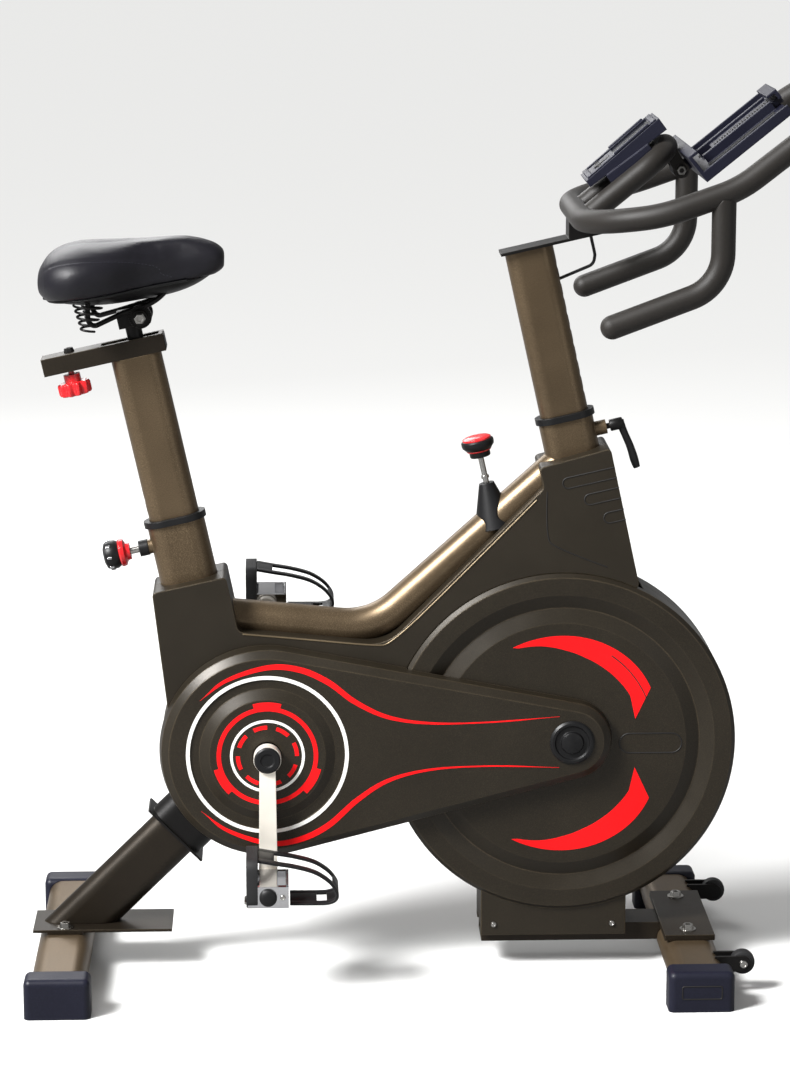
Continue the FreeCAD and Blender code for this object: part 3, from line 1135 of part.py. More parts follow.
def tablet_pieces():
    """The tray on its neck, and the jaw that slides up it to hold a tablet."""
    place = ("crank_x + tray_ahead", "tray_z", "tray_slope")
    plate = slope_box(*place, "tray_length", "tray_width", "tray_thick")
    lip = slope_box(*place, "5", "tray_width", "tray_lip")
    hook = slope_box(*place, "14", "tray_width", "4", "0", "tray_lip - 4")
    rims = [slope_box(*place, "tray_length", "4", "14", "0", "0", side)
            for side in ("tray_width / 2 - 2", "2 - tray_width / 2")]
    rails = [slope_box(*place, "tray_length - 30", "8", "13", "20", "tray_thick - 0.1", side)
             for side in ("jaw_half + fit_gap + 4", "-jaw_half - fit_gap - 4")]
    slots = [slope_box(*place, "40", "16", "20", along, "-2", f"{side} * (tray_width / 2 - 24)")
             for side in ("-1", "1") for along in ("20", "86")]
    hinge_x, hinge_z = tilt_axis()
    between = "2 * lug_side - lug_thick - 2"
    knuckle = cross_cylinder("lug_half + 2", between, hinge_x, f"({between}) / 2", hinge_z)
    web = slope_box(*place, "tilt_back + 2", between, "16", "-tilt_back", "tilt_rise - 8")
    bore = cross_cylinder("tilt_pin_radius + run_gap", "80", hinge_x, "40", hinge_z)
    named(cut(joined(cut(plate, *slots), lip, hook, *rims, *rails, knuckle, web), bore), "tablet_holder")
    slide = slope_box(*place, "tray_length - 40", "2 * jaw_half", "9", "38", "tray_thick + fit_gap")
    wall = slope_box(*place, "5", "2 * jaw_half + 34", "tray_lip - tray_thick - 22", "tray_length + 0.5",
                     "tray_thick + 9")
    base = slope_box(*place, "7.5", "2 * jaw_half", "10", "tray_length - 2", "tray_thick + fit_gap")
    lid = slope_box(*place, "16", "2 * jaw_half + 34", "4", "tray_length - 10.5", "tray_lip - 17")
    named(joined(slide, wall, base, lid), "tablet_clamp")


def tilt_axis():
    """The tray's tilt pin, behind its lip."""
    return ("crank_x + tray_ahead - tilt_back * cos(tray_slope) - tilt_rise * sin(tray_slope)",
            "tray_z - tilt_back * sin(tray_slope) + tilt_rise * cos(tray_slope)")


def loop_bar(grow=0):
    """The round loop that rises from the handlebar, as a shape."""
    rise = math.radians(worth("loop_slope"))
    along = Vector(math.cos(rise), 0, math.sin(rise))
    side, length = worth("loop_side"), worth("loop_length")
    start = ahead("bar_ahead", "0", "bar_z - loop_drop")
    near = [start + Vector(0, -side, 0), start + Vector(0, -side, 0) + along * length]
    far = [Vector(point.x, -point.y, point.z) for point in reversed(near)]
    return round_bar(near + far, [side * 0.92, side * 0.92], worth("loop_radius") + grow)


def neck_piece(bar):
    """The loop that carries the console, with the lugs and pin that carry the tray."""
    loop = max(loop_bar().cut(bar).Solids, key=lambda piece: piece.Volume)
    hinge_x, hinge_z = tilt_axis()
    end_x = "crank_x + bar_ahead + loop_length * cos(loop_slope)"
    end_z = "bar_z - loop_drop + loop_length * sin(loop_slope)"
    outline = []
    for x, z, half in ((end_x, end_z, "-lug_half"), (end_x, end_z, "lug_half"),
                       (hinge_x, hinge_z, "lug_half"), (hinge_x, hinge_z, "-lug_half")):
        outline.append((f"{x} + {half} * cos(loop_slope)", f"{z} + {half} * sin(loop_slope)"))
    pieces = [shaped("loop", loop), cross_cylinder("tilt_pin_radius", "60", hinge_x, "30", hinge_z)]
    for sign in ("-1", "1"):
        middle = f"{sign} * lug_side"
        pieces.append(slab("tray_lug", outline, "lug_thick", offset=f"-({middle})"))
        pieces.append(cross_cylinder("lug_half + 2", "lug_thick", hinge_x, f"{middle} + lug_thick / 2",
                                     hinge_z))
    return named(joined(*pieces), "inner_loop")


def cable_piece():
    """The pulse sensor's cable, from under the cradle's plate into the front of the post."""
    start = spot("head", "plate_length - stem_depth / 2 - 27", "stem_top")
    end = spot("head", "stem_depth / 2 + 0.1", "stem_top - 52")
    first = Vector(worth(start[0]), worth("cable_side"), worth(start[1]))
    last = Vector(worth(end[0]), worth("cable_side"), worth(end[1]))
    points = [first, first + Vector(7, 0, -30), first + Vector(5, 0, -43), last]
    return named(shaped("cable", round_bar(points, [14, 12], worth("cable_radius"))), "sensor_cable")


# controls

def head_lever_piece():
    """The clamp lever: a stud through the head tube's boss, a hub and a bent arm."""
    def along_stud(radius, start, length):
        x, z = spot("head", start, "lever_along")
        return put(cylinder(radius, length), x, "0", z, (0, 1, 0), "90 - head_lean")
    stud = along_stud("lever_stud_radius", "stem_depth / 2 + fit_gap", "lever_hub - stem_depth / 2 - fit_gap")
    hub = along_stud("8", "lever_hub - 8", "18")
    x, z = spot("head", "lever_hub + 8", "lever_along")
    arm = put(part("Box", Length="7", Width="12", Height="lever_reach"), x, "-6", z, (0, 1, 0),
              "180 - lever_swing")
    tip_x = f"{x} + lever_reach * sin(lever_swing)"
    tip_z = f"{z} - lever_reach * cos(lever_swing)"
    tip = cross_cylinder("7", "12", tip_x, "6", tip_z)
    return named(joined(stud, hub, arm, tip), "head_lever")


def resistance_pieces():
    """The cone on the top tube, the stem down to the brake, the knob and the magnet carriage."""
    cone = put(part("Cone", Radius1="cone_base", Radius2="cone_top", Height="cone_height"),
               "crank_x + rod_ahead + cone_height * sin(head_lean)", "0",
               "rod_z - cone_height * cos(head_lean)", (0, -1, 0), "head_lean")
    bore = lean_rod_tool("rod_radius + run_gap", "-cone_height - 20", "cone_height + 40")
    tube = shaped("cone_cope", top_tube_clearance(0.1))
    named(cut(cone, tube, bore), "resistance_cone")
    stem = lean_rod_tool("rod_radius", "-rod_drop", "rod_drop + knob_rise + 6")
    collar = lean_rod_tool("rod_radius + 1.6", "press_travel + 2", "4")
    named(joined(stem, collar), "resistance_stem")
    knob = turned_up("knob_shape", [("rod_radius + run_gap", "0"), ("14", "0"), ("14", "9"), ("17", "10"),
                                    ("knob_radius", "17"), ("knob_radius", "24"),
                                    ("knob_radius - 6", "knob_height"),
                                    ("0", "knob_height"), ("0", "11"), ("rod_radius + run_gap", "11")])
    put(knob, "crank_x + rod_ahead - (knob_rise - 4) * sin(head_lean)", "0",
        "rod_z + (knob_rise - 4) * cos(head_lean)", (0, -1, 0), "head_lean")
    named(knob, "resistance_knob")
    foot = "-rod_drop - press_travel - 24 - yoke_height"
    sleeve = lean_rod_tool("rod_radius + 5", f"{foot} + yoke_height - 0.1", "press_travel + 32")
    socket = lean_rod_tool("rod_radius + run_gap", "-rod_drop", "press_travel + 60")
    yoke = brake_box("yoke_length", "yoke_width", "yoke_height", foot)
    rim = cross_cylinder("flywheel_radius + brake_travel + 3.5", "2 * flywheel_half + 5", axle[0],
                         "flywheel_half + 2.5", axle[1])
    named(cut(joined(sleeve, yoke), rim, socket), "brake_carriage")


# build every piece

seat_tube_piece()
bushed_collar("seat_collar", "seat", "sleeve_top", "sleeve_depth", "sleeve_width", "sleeve_wall",
              "post_depth", "post_width")
head_tube_piece()
bushed_collar("head_collar", "head", "0", "neck_depth", "neck_width", "neck_wall", "stem_depth", "stem_width")
top_tube_piece()
rear_leg_piece()
leg_collar_piece()
bracket_shell_piece()
wheel_fork_piece()
lower_rail_piece()
stabilizer("front_stabilizer", "base_front")
stabilizer("rear_stabilizer", "-base_rear")
mount_plates_piece()
end_caps_piece()
mount_bolts_piece()
wheel_brackets_piece()
transport_wheel("transport_wheel_right", "-1")
transport_wheel("transport_wheel_left", "1")
for name, side in (("right", -1), ("left", 1)):
    fairing("fairing_" + name, side)
    wheel_cover("wheel_cover_" + name, side)
belt_cover_piece()
crank_discs()
crank_set()
flywheel_set()
drive_belt_piece()
pedal_set("right", "-1")
pedal_set("left", "1")
seat_post_piece()
slider_sleeve_piece()
seat_carriage_piece()
slider_knob_piece()
saddle_clamp_piece()
saddle_rails_piece()
saddle_pieces()
seat_pin_piece()
handlebar_post_piece()
post_plate_piece()
bar_shape = handlebar_pieces()
neck_piece(bar_shape)
console_pieces()
tablet_pieces()
cable_piece()
head_lever_piece()
resistance_pieces()

doc.recompute()
for thing in doc.Objects:
    if "Invalid" in thing.State or "Error" in thing.State:
        raise RuntimeError(f"{thing.Name} ({thing.Label}) failed: {thing.State}")
for node in nodes:
    shape = node.Shape
    if shape.isNull() or not shape.isValid() or not shape.Solids:
        raise RuntimeError(f"{node.Label} has no valid shape")

os.makedirs("parts", exist_ok=True)
whole = FreeCAD.BoundBox()
for node in nodes:
    node.Shape.exportStep(f"parts/{node.Label}.step")
    whole.add(node.Shape.BoundBox)
    print(f"{node.Label}: {len(node.Shape.Solids)} solid(s), {node.Shape.Volume / 1000:.1f} cm3")
print(f"{len(nodes)} nodes, from {whole.XMin:.1f}, {whole.YMin:.1f}, {whole.ZMin:.1f}"
      f" to {whole.XMax:.1f}, {whole.YMax:.1f}, {whole.ZMax:.1f}")
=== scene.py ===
import json
import math
import bpy
import bmesh
from mathutils import Matrix, Vector


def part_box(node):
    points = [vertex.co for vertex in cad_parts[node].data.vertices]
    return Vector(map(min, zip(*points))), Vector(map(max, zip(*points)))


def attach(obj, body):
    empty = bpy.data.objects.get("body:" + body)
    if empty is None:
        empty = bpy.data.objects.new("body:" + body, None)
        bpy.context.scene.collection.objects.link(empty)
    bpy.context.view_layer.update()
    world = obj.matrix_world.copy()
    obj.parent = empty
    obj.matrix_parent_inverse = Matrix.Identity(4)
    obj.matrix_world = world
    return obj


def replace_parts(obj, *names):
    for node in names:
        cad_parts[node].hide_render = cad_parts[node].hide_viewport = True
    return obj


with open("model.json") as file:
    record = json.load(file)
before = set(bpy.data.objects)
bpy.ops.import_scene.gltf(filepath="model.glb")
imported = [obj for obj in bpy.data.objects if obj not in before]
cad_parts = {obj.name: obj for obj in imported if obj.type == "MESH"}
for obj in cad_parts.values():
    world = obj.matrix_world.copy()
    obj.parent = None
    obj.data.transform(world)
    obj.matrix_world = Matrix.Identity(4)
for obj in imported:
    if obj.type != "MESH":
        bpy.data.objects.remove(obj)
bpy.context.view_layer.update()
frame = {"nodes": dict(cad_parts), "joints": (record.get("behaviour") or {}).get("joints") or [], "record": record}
print("frame loaded")

jointPlace = {j["name"]: Vector(j.get("pos_m", (0, 0, 0))) for j in frame["joints"]}
jointAxis = {j["name"]: Vector(j["axis"]).normalized() for j in frame["joints"]}
crank = jointPlace["crank_spin"]
axle = jointPlace["flywheel_spin"]
coverLow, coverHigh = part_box("wheel_cover_right")
coverFace = coverLow.y
cover = Vector(((coverLow.x + coverHigh.x) / 2, 0, coverHigh.z - (coverHigh.x - coverLow.x) / 2))
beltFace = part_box("belt_cover")[0].y
seatUp = jointAxis["seat_height"]
headUp = jointAxis["handlebar_height"]
acrossSeat = jointAxis["seat_fore_aft"]
acrossHead = jointAxis["head_lever_turn"]


def at(ahead, side, up):  # millimetres forwards from the crank, to the left, and above the floor
    return Vector((crank.x + ahead / 1000, side / 1000, up / 1000))


def colour(red, green, blue):  # screen values, 0 to 255
    levels = [value / 255 for value in (red, green, blue)]
    linear = [level / 12.92 if level <= 0.04045 else ((level + 0.055) / 1.055) ** 2.4 for level in levels]
    return linear + [1]


# materials

def newGroup(name, inputs, outputs):
    group = bpy.data.node_groups.new(name, "ShaderNodeTree")
    for label, kind, value in inputs:
        socket = group.interface.new_socket(name=label, in_out="INPUT", socket_type=kind)
        if value is not None:
            socket.default_value = value
    for label, kind in outputs:
        group.interface.new_socket(name=label, in_out="OUTPUT", socket_type=kind)
    return group, group.nodes.new("NodeGroupInput"), group.nodes.new("NodeGroupOutput")


def addNode(tree, kind, links=(), **values):
    node = tree.nodes.new(kind)
    for key, value in values.items():
        setattr(node, key, value)
    for socket, source in links:
        if isinstance(source, bpy.types.NodeSocket):
            tree.links.new(source, node.inputs[socket])
        else:
            node.inputs[socket].default_value = source
    return node


def grainGroup():  # powder-coat flecks, soft mottling and an uneven gloss
    group, inside, out = newGroup("fineGrain", [
        ("Base", "NodeSocketColor", (0.1, 0.1, 0.1, 1)), ("Fleck", "NodeSocketColor", (0.2, 0.2, 0.2, 1)),
        ("Scale", "NodeSocketFloat", 900.0), ("Amount", "NodeSocketFloat", 0.4),
        ("Rough Low", "NodeSocketFloat", 0.4), ("Rough High", "NodeSocketFloat", 0.55)],
        [("Color", "NodeSocketColor"), ("Roughness", "NodeSocketFloat"), ("Height", "NodeSocketFloat")])
    place = addNode(group, "ShaderNodeTexCoord")
    where = place.outputs["Object"]
    fine = addNode(group, "ShaderNodeTexNoise", [("Vector", where), ("Scale", inside.outputs["Scale"]),
                                                 ("Detail", 2.0), ("Roughness", 0.6)])
    broad = addNode(group, "ShaderNodeTexNoise", [("Vector", where), ("Scale", 9.0), ("Detail", 3.0)])
    sharp = addNode(group, "ShaderNodeMapRange", [("Value", fine.outputs["Fac"]), ("From Min", 0.48),
                                                  ("From Max", 0.68)])
    share = addNode(group, "ShaderNodeMath", [(0, sharp.outputs["Result"]),
                                              (1, inside.outputs["Amount"])], operation="MULTIPLY")
    flecked = addNode(group, "ShaderNodeMix", [("Factor", share.outputs[0]), ("A", inside.outputs["Base"]),
                                               ("B", inside.outputs["Fleck"])], data_type="RGBA")
    shade = addNode(group, "ShaderNodeMapRange", [("Value", broad.outputs["Fac"]), ("From Min", 0.3),
                                                  ("From Max", 0.7), ("To Min", 0.86), ("To Max", 1.1)])
    toned = addNode(group, "ShaderNodeVectorMath", [(0, flecked.outputs["Result"]),
                                                    ("Scale", shade.outputs["Result"])], operation="SCALE")
    gloss = addNode(group, "ShaderNodeMapRange", [("Value", broad.outputs["Fac"]), ("From Min", 0.3),
                                                  ("From Max", 0.7),
                                                  ("To Min", inside.outputs["Rough Low"]),
                                                  ("To Max", inside.outputs["Rough High"])])
    group.links.new(toned.outputs["Vector"], out.inputs["Color"])
    group.links.new(gloss.outputs["Result"], out.inputs["Roughness"])
    group.links.new(fine.outputs["Fac"], out.inputs["Height"])
    return group


def edgeGroup():  # bevelled normals that round the edges, plus a painted highlight: a paler colour mixed in along the edges, patchy like rubbed wear
    group, inside, out = newGroup("wornAndHighlitEdge", [
        ("Color", "NodeSocketColor", (0.1, 0.1, 0.1, 1)), ("Edge", "NodeSocketColor", (0.3, 0.3, 0.3, 1)),
        ("Amount", "NodeSocketFloat", 0.3), ("Radius", "NodeSocketFloat", 0.0015)],
        [("Color", "NodeSocketColor"), ("Normal", "NodeSocketVector")])
    bevel = addNode(group, "ShaderNodeBevel", [("Radius", inside.outputs["Radius"])], samples=4)
    shape = addNode(group, "ShaderNodeNewGeometry")
    along = addNode(group, "ShaderNodeVectorMath", [(0, bevel.outputs["Normal"]),
                                                    (1, shape.outputs["Normal"])],
                    operation="DOT_PRODUCT")
    place = addNode(group, "ShaderNodeTexCoord")
    patchy = addNode(group, "ShaderNodeTexNoise", [("Vector", place.outputs["Object"]), ("Scale", 45.0),
                                                   ("Detail", 3.0)])
    edge = addNode(group, "ShaderNodeMapRange", [("Value", along.outputs["Value"]), ("From Min", 0.995),
                                                 ("From Max", 0.85)])
    rubbedAndHighlit = addNode(group, "ShaderNodeMath", [(0, edge.outputs["Result"]), (1, patchy.outputs["Fac"])],
                     operation="MULTIPLY")
    share = addNode(group, "ShaderNodeMath", [(0, rubbedAndHighlit.outputs[0]), (1, inside.outputs["Amount"])],
                    operation="MULTIPLY")
    # painted highlight: edges mixed towards the paler Edge colour, broken up by the noise like rubbed wear
    mixed = addNode(group, "ShaderNodeMix", [("Factor", share.outputs[0]), ("A", inside.outputs["Color"]),
                                             ("B", inside.outputs["Edge"])], data_type="RGBA")
    group.links.new(mixed.outputs["Result"], out.inputs["Color"])
    group.links.new(bevel.outputs["Normal"], out.inputs["Normal"])
    return group


grain = grainGroup()
wearAndHighlight = edgeGroup()


def coated(name, base, fleck, scale=900.0, amount=0.4, rough=(0.4, 0.55), metallic=0.0, bump=0.1, edge=None,
           edgeAmount=0.35, radius=0.0015, coat=0.0, specular=0.5, sheen=0.0):
    material = bpy.data.materials.new(name)
    material.use_nodes = True
    tree = material.node_tree
    shader = tree.nodes["Principled BSDF"]
    grains = addNode(tree, "ShaderNodeGroup", node_tree=grain)
    for label, value in (("Base", base), ("Fleck", fleck), ("Scale", scale), ("Amount", amount),
                         ("Rough Low", rough[0]), ("Rough High", rough[1])):
        grains.inputs[label].default_value = value
    edges = addNode(tree, "ShaderNodeGroup", node_tree=wearAndHighlight)
    tree.links.new(grains.outputs["Color"], edges.inputs["Color"])
    edges.inputs["Edge"].default_value = edge or fleck
    edges.inputs["Amount"].default_value = edgeAmount
    edges.inputs["Radius"].default_value = radius
    relief = addNode(tree, "ShaderNodeBump", [("Height", grains.outputs["Height"]), ("Strength", bump),
                                              ("Distance", 0.0004), ("Normal", edges.outputs["Normal"])])
    tree.links.new(edges.outputs["Color"], shader.inputs["Base Color"])
    tree.links.new(grains.outputs["Roughness"], shader.inputs["Roughness"])
    tree.links.new(relief.outputs["Normal"], shader.inputs["Normal"])
    shader.inputs["Metallic"].default_value = metallic
    shader.inputs["Coat Weight"].default_value = coat
    shader.inputs["Specular IOR Level"].default_value = specular
    shader.inputs["Sheen Weight"].default_value = sheen
    return material


# each material's edge colour (its flecks colour where none is given) is a painted highlight along its edges,
# patchy like rubbed wear
paint = coated("framePaint", colour(90, 76, 58), colour(160, 138, 108), 1300.0, 0.5, (0.28, 0.4), 0.65,
               0.12, colour(180, 158, 126), radius=0.002, specular=0.4)
# a darker copy of the frame paint: the slider sleeve's own near-black, and painted shade on the rear leg and lower
# rail, which sit low; also used on the mount plates and bracket shell
blackAndShadedPaint = coated("blackAndShadedPaint", colour(36, 31, 25), colour(86, 75, 60), 1300.0, 0.4, (0.32, 0.44), 0.5,
                   0.12, colour(140, 124, 100), radius=0.002, specular=0.35)
coverPlastic = coated("coverPlastic", colour(38, 33, 25), colour(74, 65, 50), 1500.0, 0.45, (0.33, 0.45),
                      0.3, 0.12, colour(150, 132, 104), 0.5, 0.003, specular=0.4)
blackPaint = coated("blackPaint", colour(17, 16, 16), colour(44, 41, 38), 1200.0, 0.3, (0.3, 0.44), 0.3,
                    0.08, colour(100, 94, 86), specular=0.3)
blackPlastic = coated("blackPlastic", colour(15, 15, 16), colour(36, 35, 36), 1400.0, 0.3, (0.35, 0.5),
                      0.0, 0.1, colour(74, 72, 70), specular=0.3)
navyPlastic = coated("navyPlastic", colour(19, 20, 34), colour(42, 43, 62), 1100.0, 0.35, (0.38, 0.52),
                     0.0, 0.14, colour(80, 82, 108), radius=0.002, specular=0.3)
redPlastic = coated("redPlastic", colour(214, 26, 34), colour(240, 90, 84), 1000.0, 0.15, (0.22, 0.36),
                    0.0, 0.04, colour(250, 150, 140), 0.3, 0.001, coat=0.3)
redPrint = coated("redPrint", colour(255, 16, 22), colour(255, 54, 50), 1600.0, 0.15, (0.45, 0.55), 0.0,
                  0.03, radius=0.0002, edgeAmount=0.0, specular=0.2)
whitePrint = coated("whitePrint", colour(255, 253, 248), colour(226, 220, 212), 1600.0, 0.2, (0.4, 0.5),
                    0.0, 0.03, radius=0.0002, edgeAmount=0.0)
darkPrint = coated("darkPrint", colour(20, 18, 17), colour(40, 36, 32), 1500.0, 0.2, (0.5, 0.6), 0.0,
                   0.04, radius=0.0002, edgeAmount=0.0)
steel = coated("brightSteel", colour(176, 174, 170), colour(205, 203, 198), 500.0, 0.3, (0.2, 0.34), 1.0,
               0.05, colour(230, 228, 222), 0.3, 0.0008)
chrome = coated("chromePlate", colour(206, 206, 208), colour(226, 226, 228), 300.0, 0.2, (0.06, 0.16),
                1.0, 0.02, colour(240, 240, 240), 0.2, 0.001)
armMetal = coated("armMetal", colour(250, 243, 230), colour(255, 250, 240), 700.0, 0.25, (0.28, 0.4),
                  0.35, 0.05, colour(246, 242, 234), 0.4, 0.0015)
iron = coated("castIron", colour(70, 70, 72), colour(110, 110, 112), 400.0, 0.4, (0.3, 0.5), 0.9, 0.1)
beltRubber = coated("beltRubber", colour(22, 22, 23), colour(44, 44, 46), 900.0, 0.3, (0.6, 0.8), 0.0, 0.15)
barFoam = coated("barFoam", colour(25, 22, 19), colour(54, 48, 41), 1700.0, 0.45, (0.45, 0.58), 0.0, 0.35,
                 colour(64, 58, 50), 0.2, 0.001, specular=0.35, sheen=0.05)
seatVinyl = coated("seatVinyl", colour(17, 16, 22), colour(38, 36, 46), 1900.0, 0.25, (0.36, 0.46), 0.0,
                   0.5, radius=0.0005, edgeAmount=0.0, specular=0.35)
threadDark = coated("stitchThread", colour(44, 43, 54), colour(80, 78, 90), 2400.0, 0.4, (0.6, 0.75), 0.0,
                    0.3, radius=0.0002, edgeAmount=0.0)
rimBronze = coated("rimBronze", colour(112, 98, 76), colour(160, 142, 114), 1200.0, 0.3, (0.3, 0.42), 0.6,
                   0.05, radius=0.0005, edgeAmount=0.0)
screenGlass = coated("screenGlass", colour(10, 13, 14), colour(16, 22, 22), 60.0, 0.3, (0.06, 0.12), 0.0,
                     0.0, radius=0.0005, edgeAmount=0.0, coat=0.6)
bySlot = {"frame_paint": paint, "black_paint": blackPaint, "navy_plastic": navyPlastic,
          "cover_plastic": coverPlastic, "black_plastic": blackPlastic, "red_plastic": redPlastic,
          "steel": steel, "chrome_metal": chrome, "arm_metal": armMetal, "iron": iron,
          "belt_rubber": beltRubber, "bar_foam": barFoam, "cushion_vinyl": seatVinyl,
          "strap_rubber": blackPlastic}
# on the rear leg and lower rail the darker paint is painted shade for parts that sit low; the slider sleeve is
# black itself
byNode = {"slider_sleeve": blackAndShadedPaint, "rear_leg": blackAndShadedPaint, "lower_rail": blackAndShadedPaint,
          "mount_plates": blackAndShadedPaint, "bracket_shell": blackAndShadedPaint, "console_button": blackPlastic}
slotOf = {entry["node"]: entry["material_slot"] for entry in frame["record"]["subparts"]}
for node, thing in frame["nodes"].items():
    thing.data.materials.clear()
    thing.data.materials.append(byNode.get(node, bySlot[slotOf[node]]))
print("materials ready")


# mesh helpers

def place(name, mesh, material, body, slot, smooth=True):
    thing = bpy.data.objects.new(name, mesh)
    bpy.context.scene.collection.objects.link(thing)
    mesh.materials.clear()
    mesh.materials.append(material)
    if smooth:
        mesh.polygons.foreach_set("use_smooth", [True] * len(mesh.polygons))
        mesh.set_sharp_from_angle(angle=math.radians(38))
    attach(thing, body)
    return thing


def meshFrom(build):
    shape = bmesh.new()
    build(shape)
    bmesh.ops.remove_doubles(shape, verts=shape.verts, dist=1e-6)
    bmesh.ops.recalc_face_normals(shape, faces=shape.faces)
    mesh = bpy.data.meshes.new("shape")
    shape.to_mesh(mesh)
    shape.free()
    return mesh


def turnTo(axis, centre):  # a matrix whose Z runs along an axis through a centre
    return Matrix.Translation(centre) @ Vector((0, 0, 1)).rotation_difference(axis).to_matrix().to_4x4()


def lathe(profile, axis, centre, sides=64):  # profile: (radius, distance along), closed at both ends
    def build(shape):
        rings = []
        for radius, along in profile:
            ring = []
            for step in range(sides):
                angle = math.tau * step / sides
                ring.append(shape.verts.new((radius * math.cos(angle), radius * math.sin(angle), along)))
            rings.append(ring)
        for lower, upper in zip(rings, rings[1:]):
            for step in range(sides):
                after = (step + 1) % sides
                shape.faces.new((lower[step], lower[after], upper[after], upper[step]))
        if profile[0][0] > 1e-5:
            shape.faces.new(rings[0][::-1])
        if profile[-1][0] > 1e-5:
            shape.faces.new(rings[-1])
    mesh = meshFrom(build)
    mesh.transform(turnTo(axis, centre))
    return mesh


def ringBand(inner, outer, thick, axis, centre, sides=128):  # a flat ring with a wall all round
    def build(shape):
        corners = [(inner, 0), (outer, 0), (outer, thick), (inner, thick)]
        rows = []
        for step in range(sides):
            angle = math.tau * step / sides
            turned = [(r * math.cos(angle), r * math.sin(angle), z) for r, z in corners]
            rows.append([shape.verts.new(spot) for spot in turned])
        for step in range(sides):
            near, far = rows[step], rows[(step + 1) % sides]
            for edge in range(4):
                shape.faces.new((near[edge], near[(edge + 1) % 4], far[(edge + 1) % 4], far[edge]))
    mesh = meshFrom(build)
    mesh.transform(turnTo(axis, centre))
    return mesh


def plate(outline, low, high):  # an outline of (x, z) given a thickness along Y
    def build(shape):
        near = [shape.verts.new((x, low, z)) for x, z in outline]
        far = [shape.verts.new((x, high, z)) for x, z in outline]
        count = len(outline)
        shape.faces.new(near)
        shape.faces.new(far[::-1])
        for step in range(count):
            after = (step + 1) % count
            shape.faces.new((near[step], far[step], far[after], near[after]))
    return meshFrom(build)


def tube(points, radius, closed=False, smooth=True, taper=None):  # a round bead or rod along points
    curve = bpy.data.curves.new("path", "CURVE")
    curve.dimensions = "3D"
    curve.bevel_depth = radius
    curve.bevel_resolution = 4
    curve.use_fill_caps = True
    line = curve.splines.new("NURBS" if smooth else "POLY")
    line.points.add(len(points) - 1)
    for step, point in enumerate(points):
        line.points[step].co = (*point, 1)
        line.points[step].radius = taper[step] if taper else 1
    line.use_cyclic_u = closed
    if smooth:
        line.order_u = 3
        line.use_endpoint_u = not closed
        line.resolution_u = 8
    holder = bpy.data.objects.new("path", curve)
    bpy.context.scene.collection.objects.link(holder)
    mesh = bpy.data.meshes.new_from_object(holder.evaluated_get(bpy.context.evaluated_depsgraph_get()))
    bpy.data.objects.remove(holder)
    return joinMeshes(mesh, weld=1e-6)


def joinMeshes(*meshes, weld=0):  # several meshes as one, with points closer than weld merged
    shape = bmesh.new()
    for mesh in meshes:
        shape.from_mesh(mesh)
    if weld:
        bmesh.ops.remove_doubles(shape, verts=shape.verts, dist=weld)
    whole = bpy.data.meshes.new("joined")
    shape.to_mesh(whole)
    shape.free()
    return whole


def rounded(outline, radius, steps=6):  # round the corners of a closed (x, z) outline
    result = []
    count = len(outline)
    for index, corner in enumerate(outline):
        here = Vector(corner)
        before = Vector(outline[index - 1]) - here
        after = Vector(outline[(index + 1) % count]) - here
        cut = min(radius, before.length * 0.45, after.length * 0.45)
        start, end = here + before.normalized() * cut, here + after.normalized() * cut
        for step in range(steps + 1):
            t = step / steps
            result.append(start.lerp(here, t).lerp(here.lerp(end, t), t))
    return [tuple(point) for point in result]


def smoothLine(points, steps=8):  # a Catmull-Rom line through (x, z) points
    line = [Vector(point) for point in points]
    line = [line[0] * 2 - line[1]] + line + [line[-1] * 2 - line[-2]]
    result = []
    for a, b, c, d in zip(line, line[1:], line[2:], line[3:]):
        for step in range(steps):
            t = step / steps
            result.append(tuple(((b * 2) + (c - a) * t + (a * 2 - b * 5 + c * 4 - d) * t * t
                                 + (b * 3 - a - c * 3 + d) * t ** 3) * 0.5))
    result.append(tuple(line[-2]))
    return result


def bevelled(mesh, width, segments=3, angle=35):
    holder = bpy.data.objects.new("bevel", mesh)
    bpy.context.scene.collection.objects.link(holder)
    edge = holder.modifiers.new("edges", "BEVEL")
    edge.width = width
    edge.segments = segments
    edge.limit_method = "ANGLE"
    edge.angle_limit = math.radians(angle)
    result = bpy.data.meshes.new_from_object(holder.evaluated_get(bpy.context.evaluated_depsgraph_get()))
    bpy.data.objects.remove(holder)
    return result


# geometry node trees

def newTree(name, inputs):
    tree = bpy.data.node_groups.new(name, "GeometryNodeTree")
    tree.interface.new_socket(name="Geometry", in_out="INPUT", socket_type="NodeSocketGeometry")
    for label, kind, value in inputs:
        socket = tree.interface.new_socket(name=label, in_out="INPUT", socket_type=kind)
        if value is not None:
            socket.default_value = value
    tree.interface.new_socket(name="Geometry", in_out="OUTPUT", socket_type="NodeSocketGeometry")
    return tree, tree.nodes.new("NodeGroupInput"), tree.nodes.new("NodeGroupOutput")


def endTree(tree, inside, out, geometry):
    real = addNode(tree, "GeometryNodeRealizeInstances", [("Geometry", geometry)])
    painted = addNode(tree, "GeometryNodeSetMaterial", [("Geometry", real.outputs["Geometry"]),
                                                        ("Material", inside.outputs["Material"])])
    tree.links.new(painted.outputs["Geometry"], out.inputs["Geometry"])
    return tree


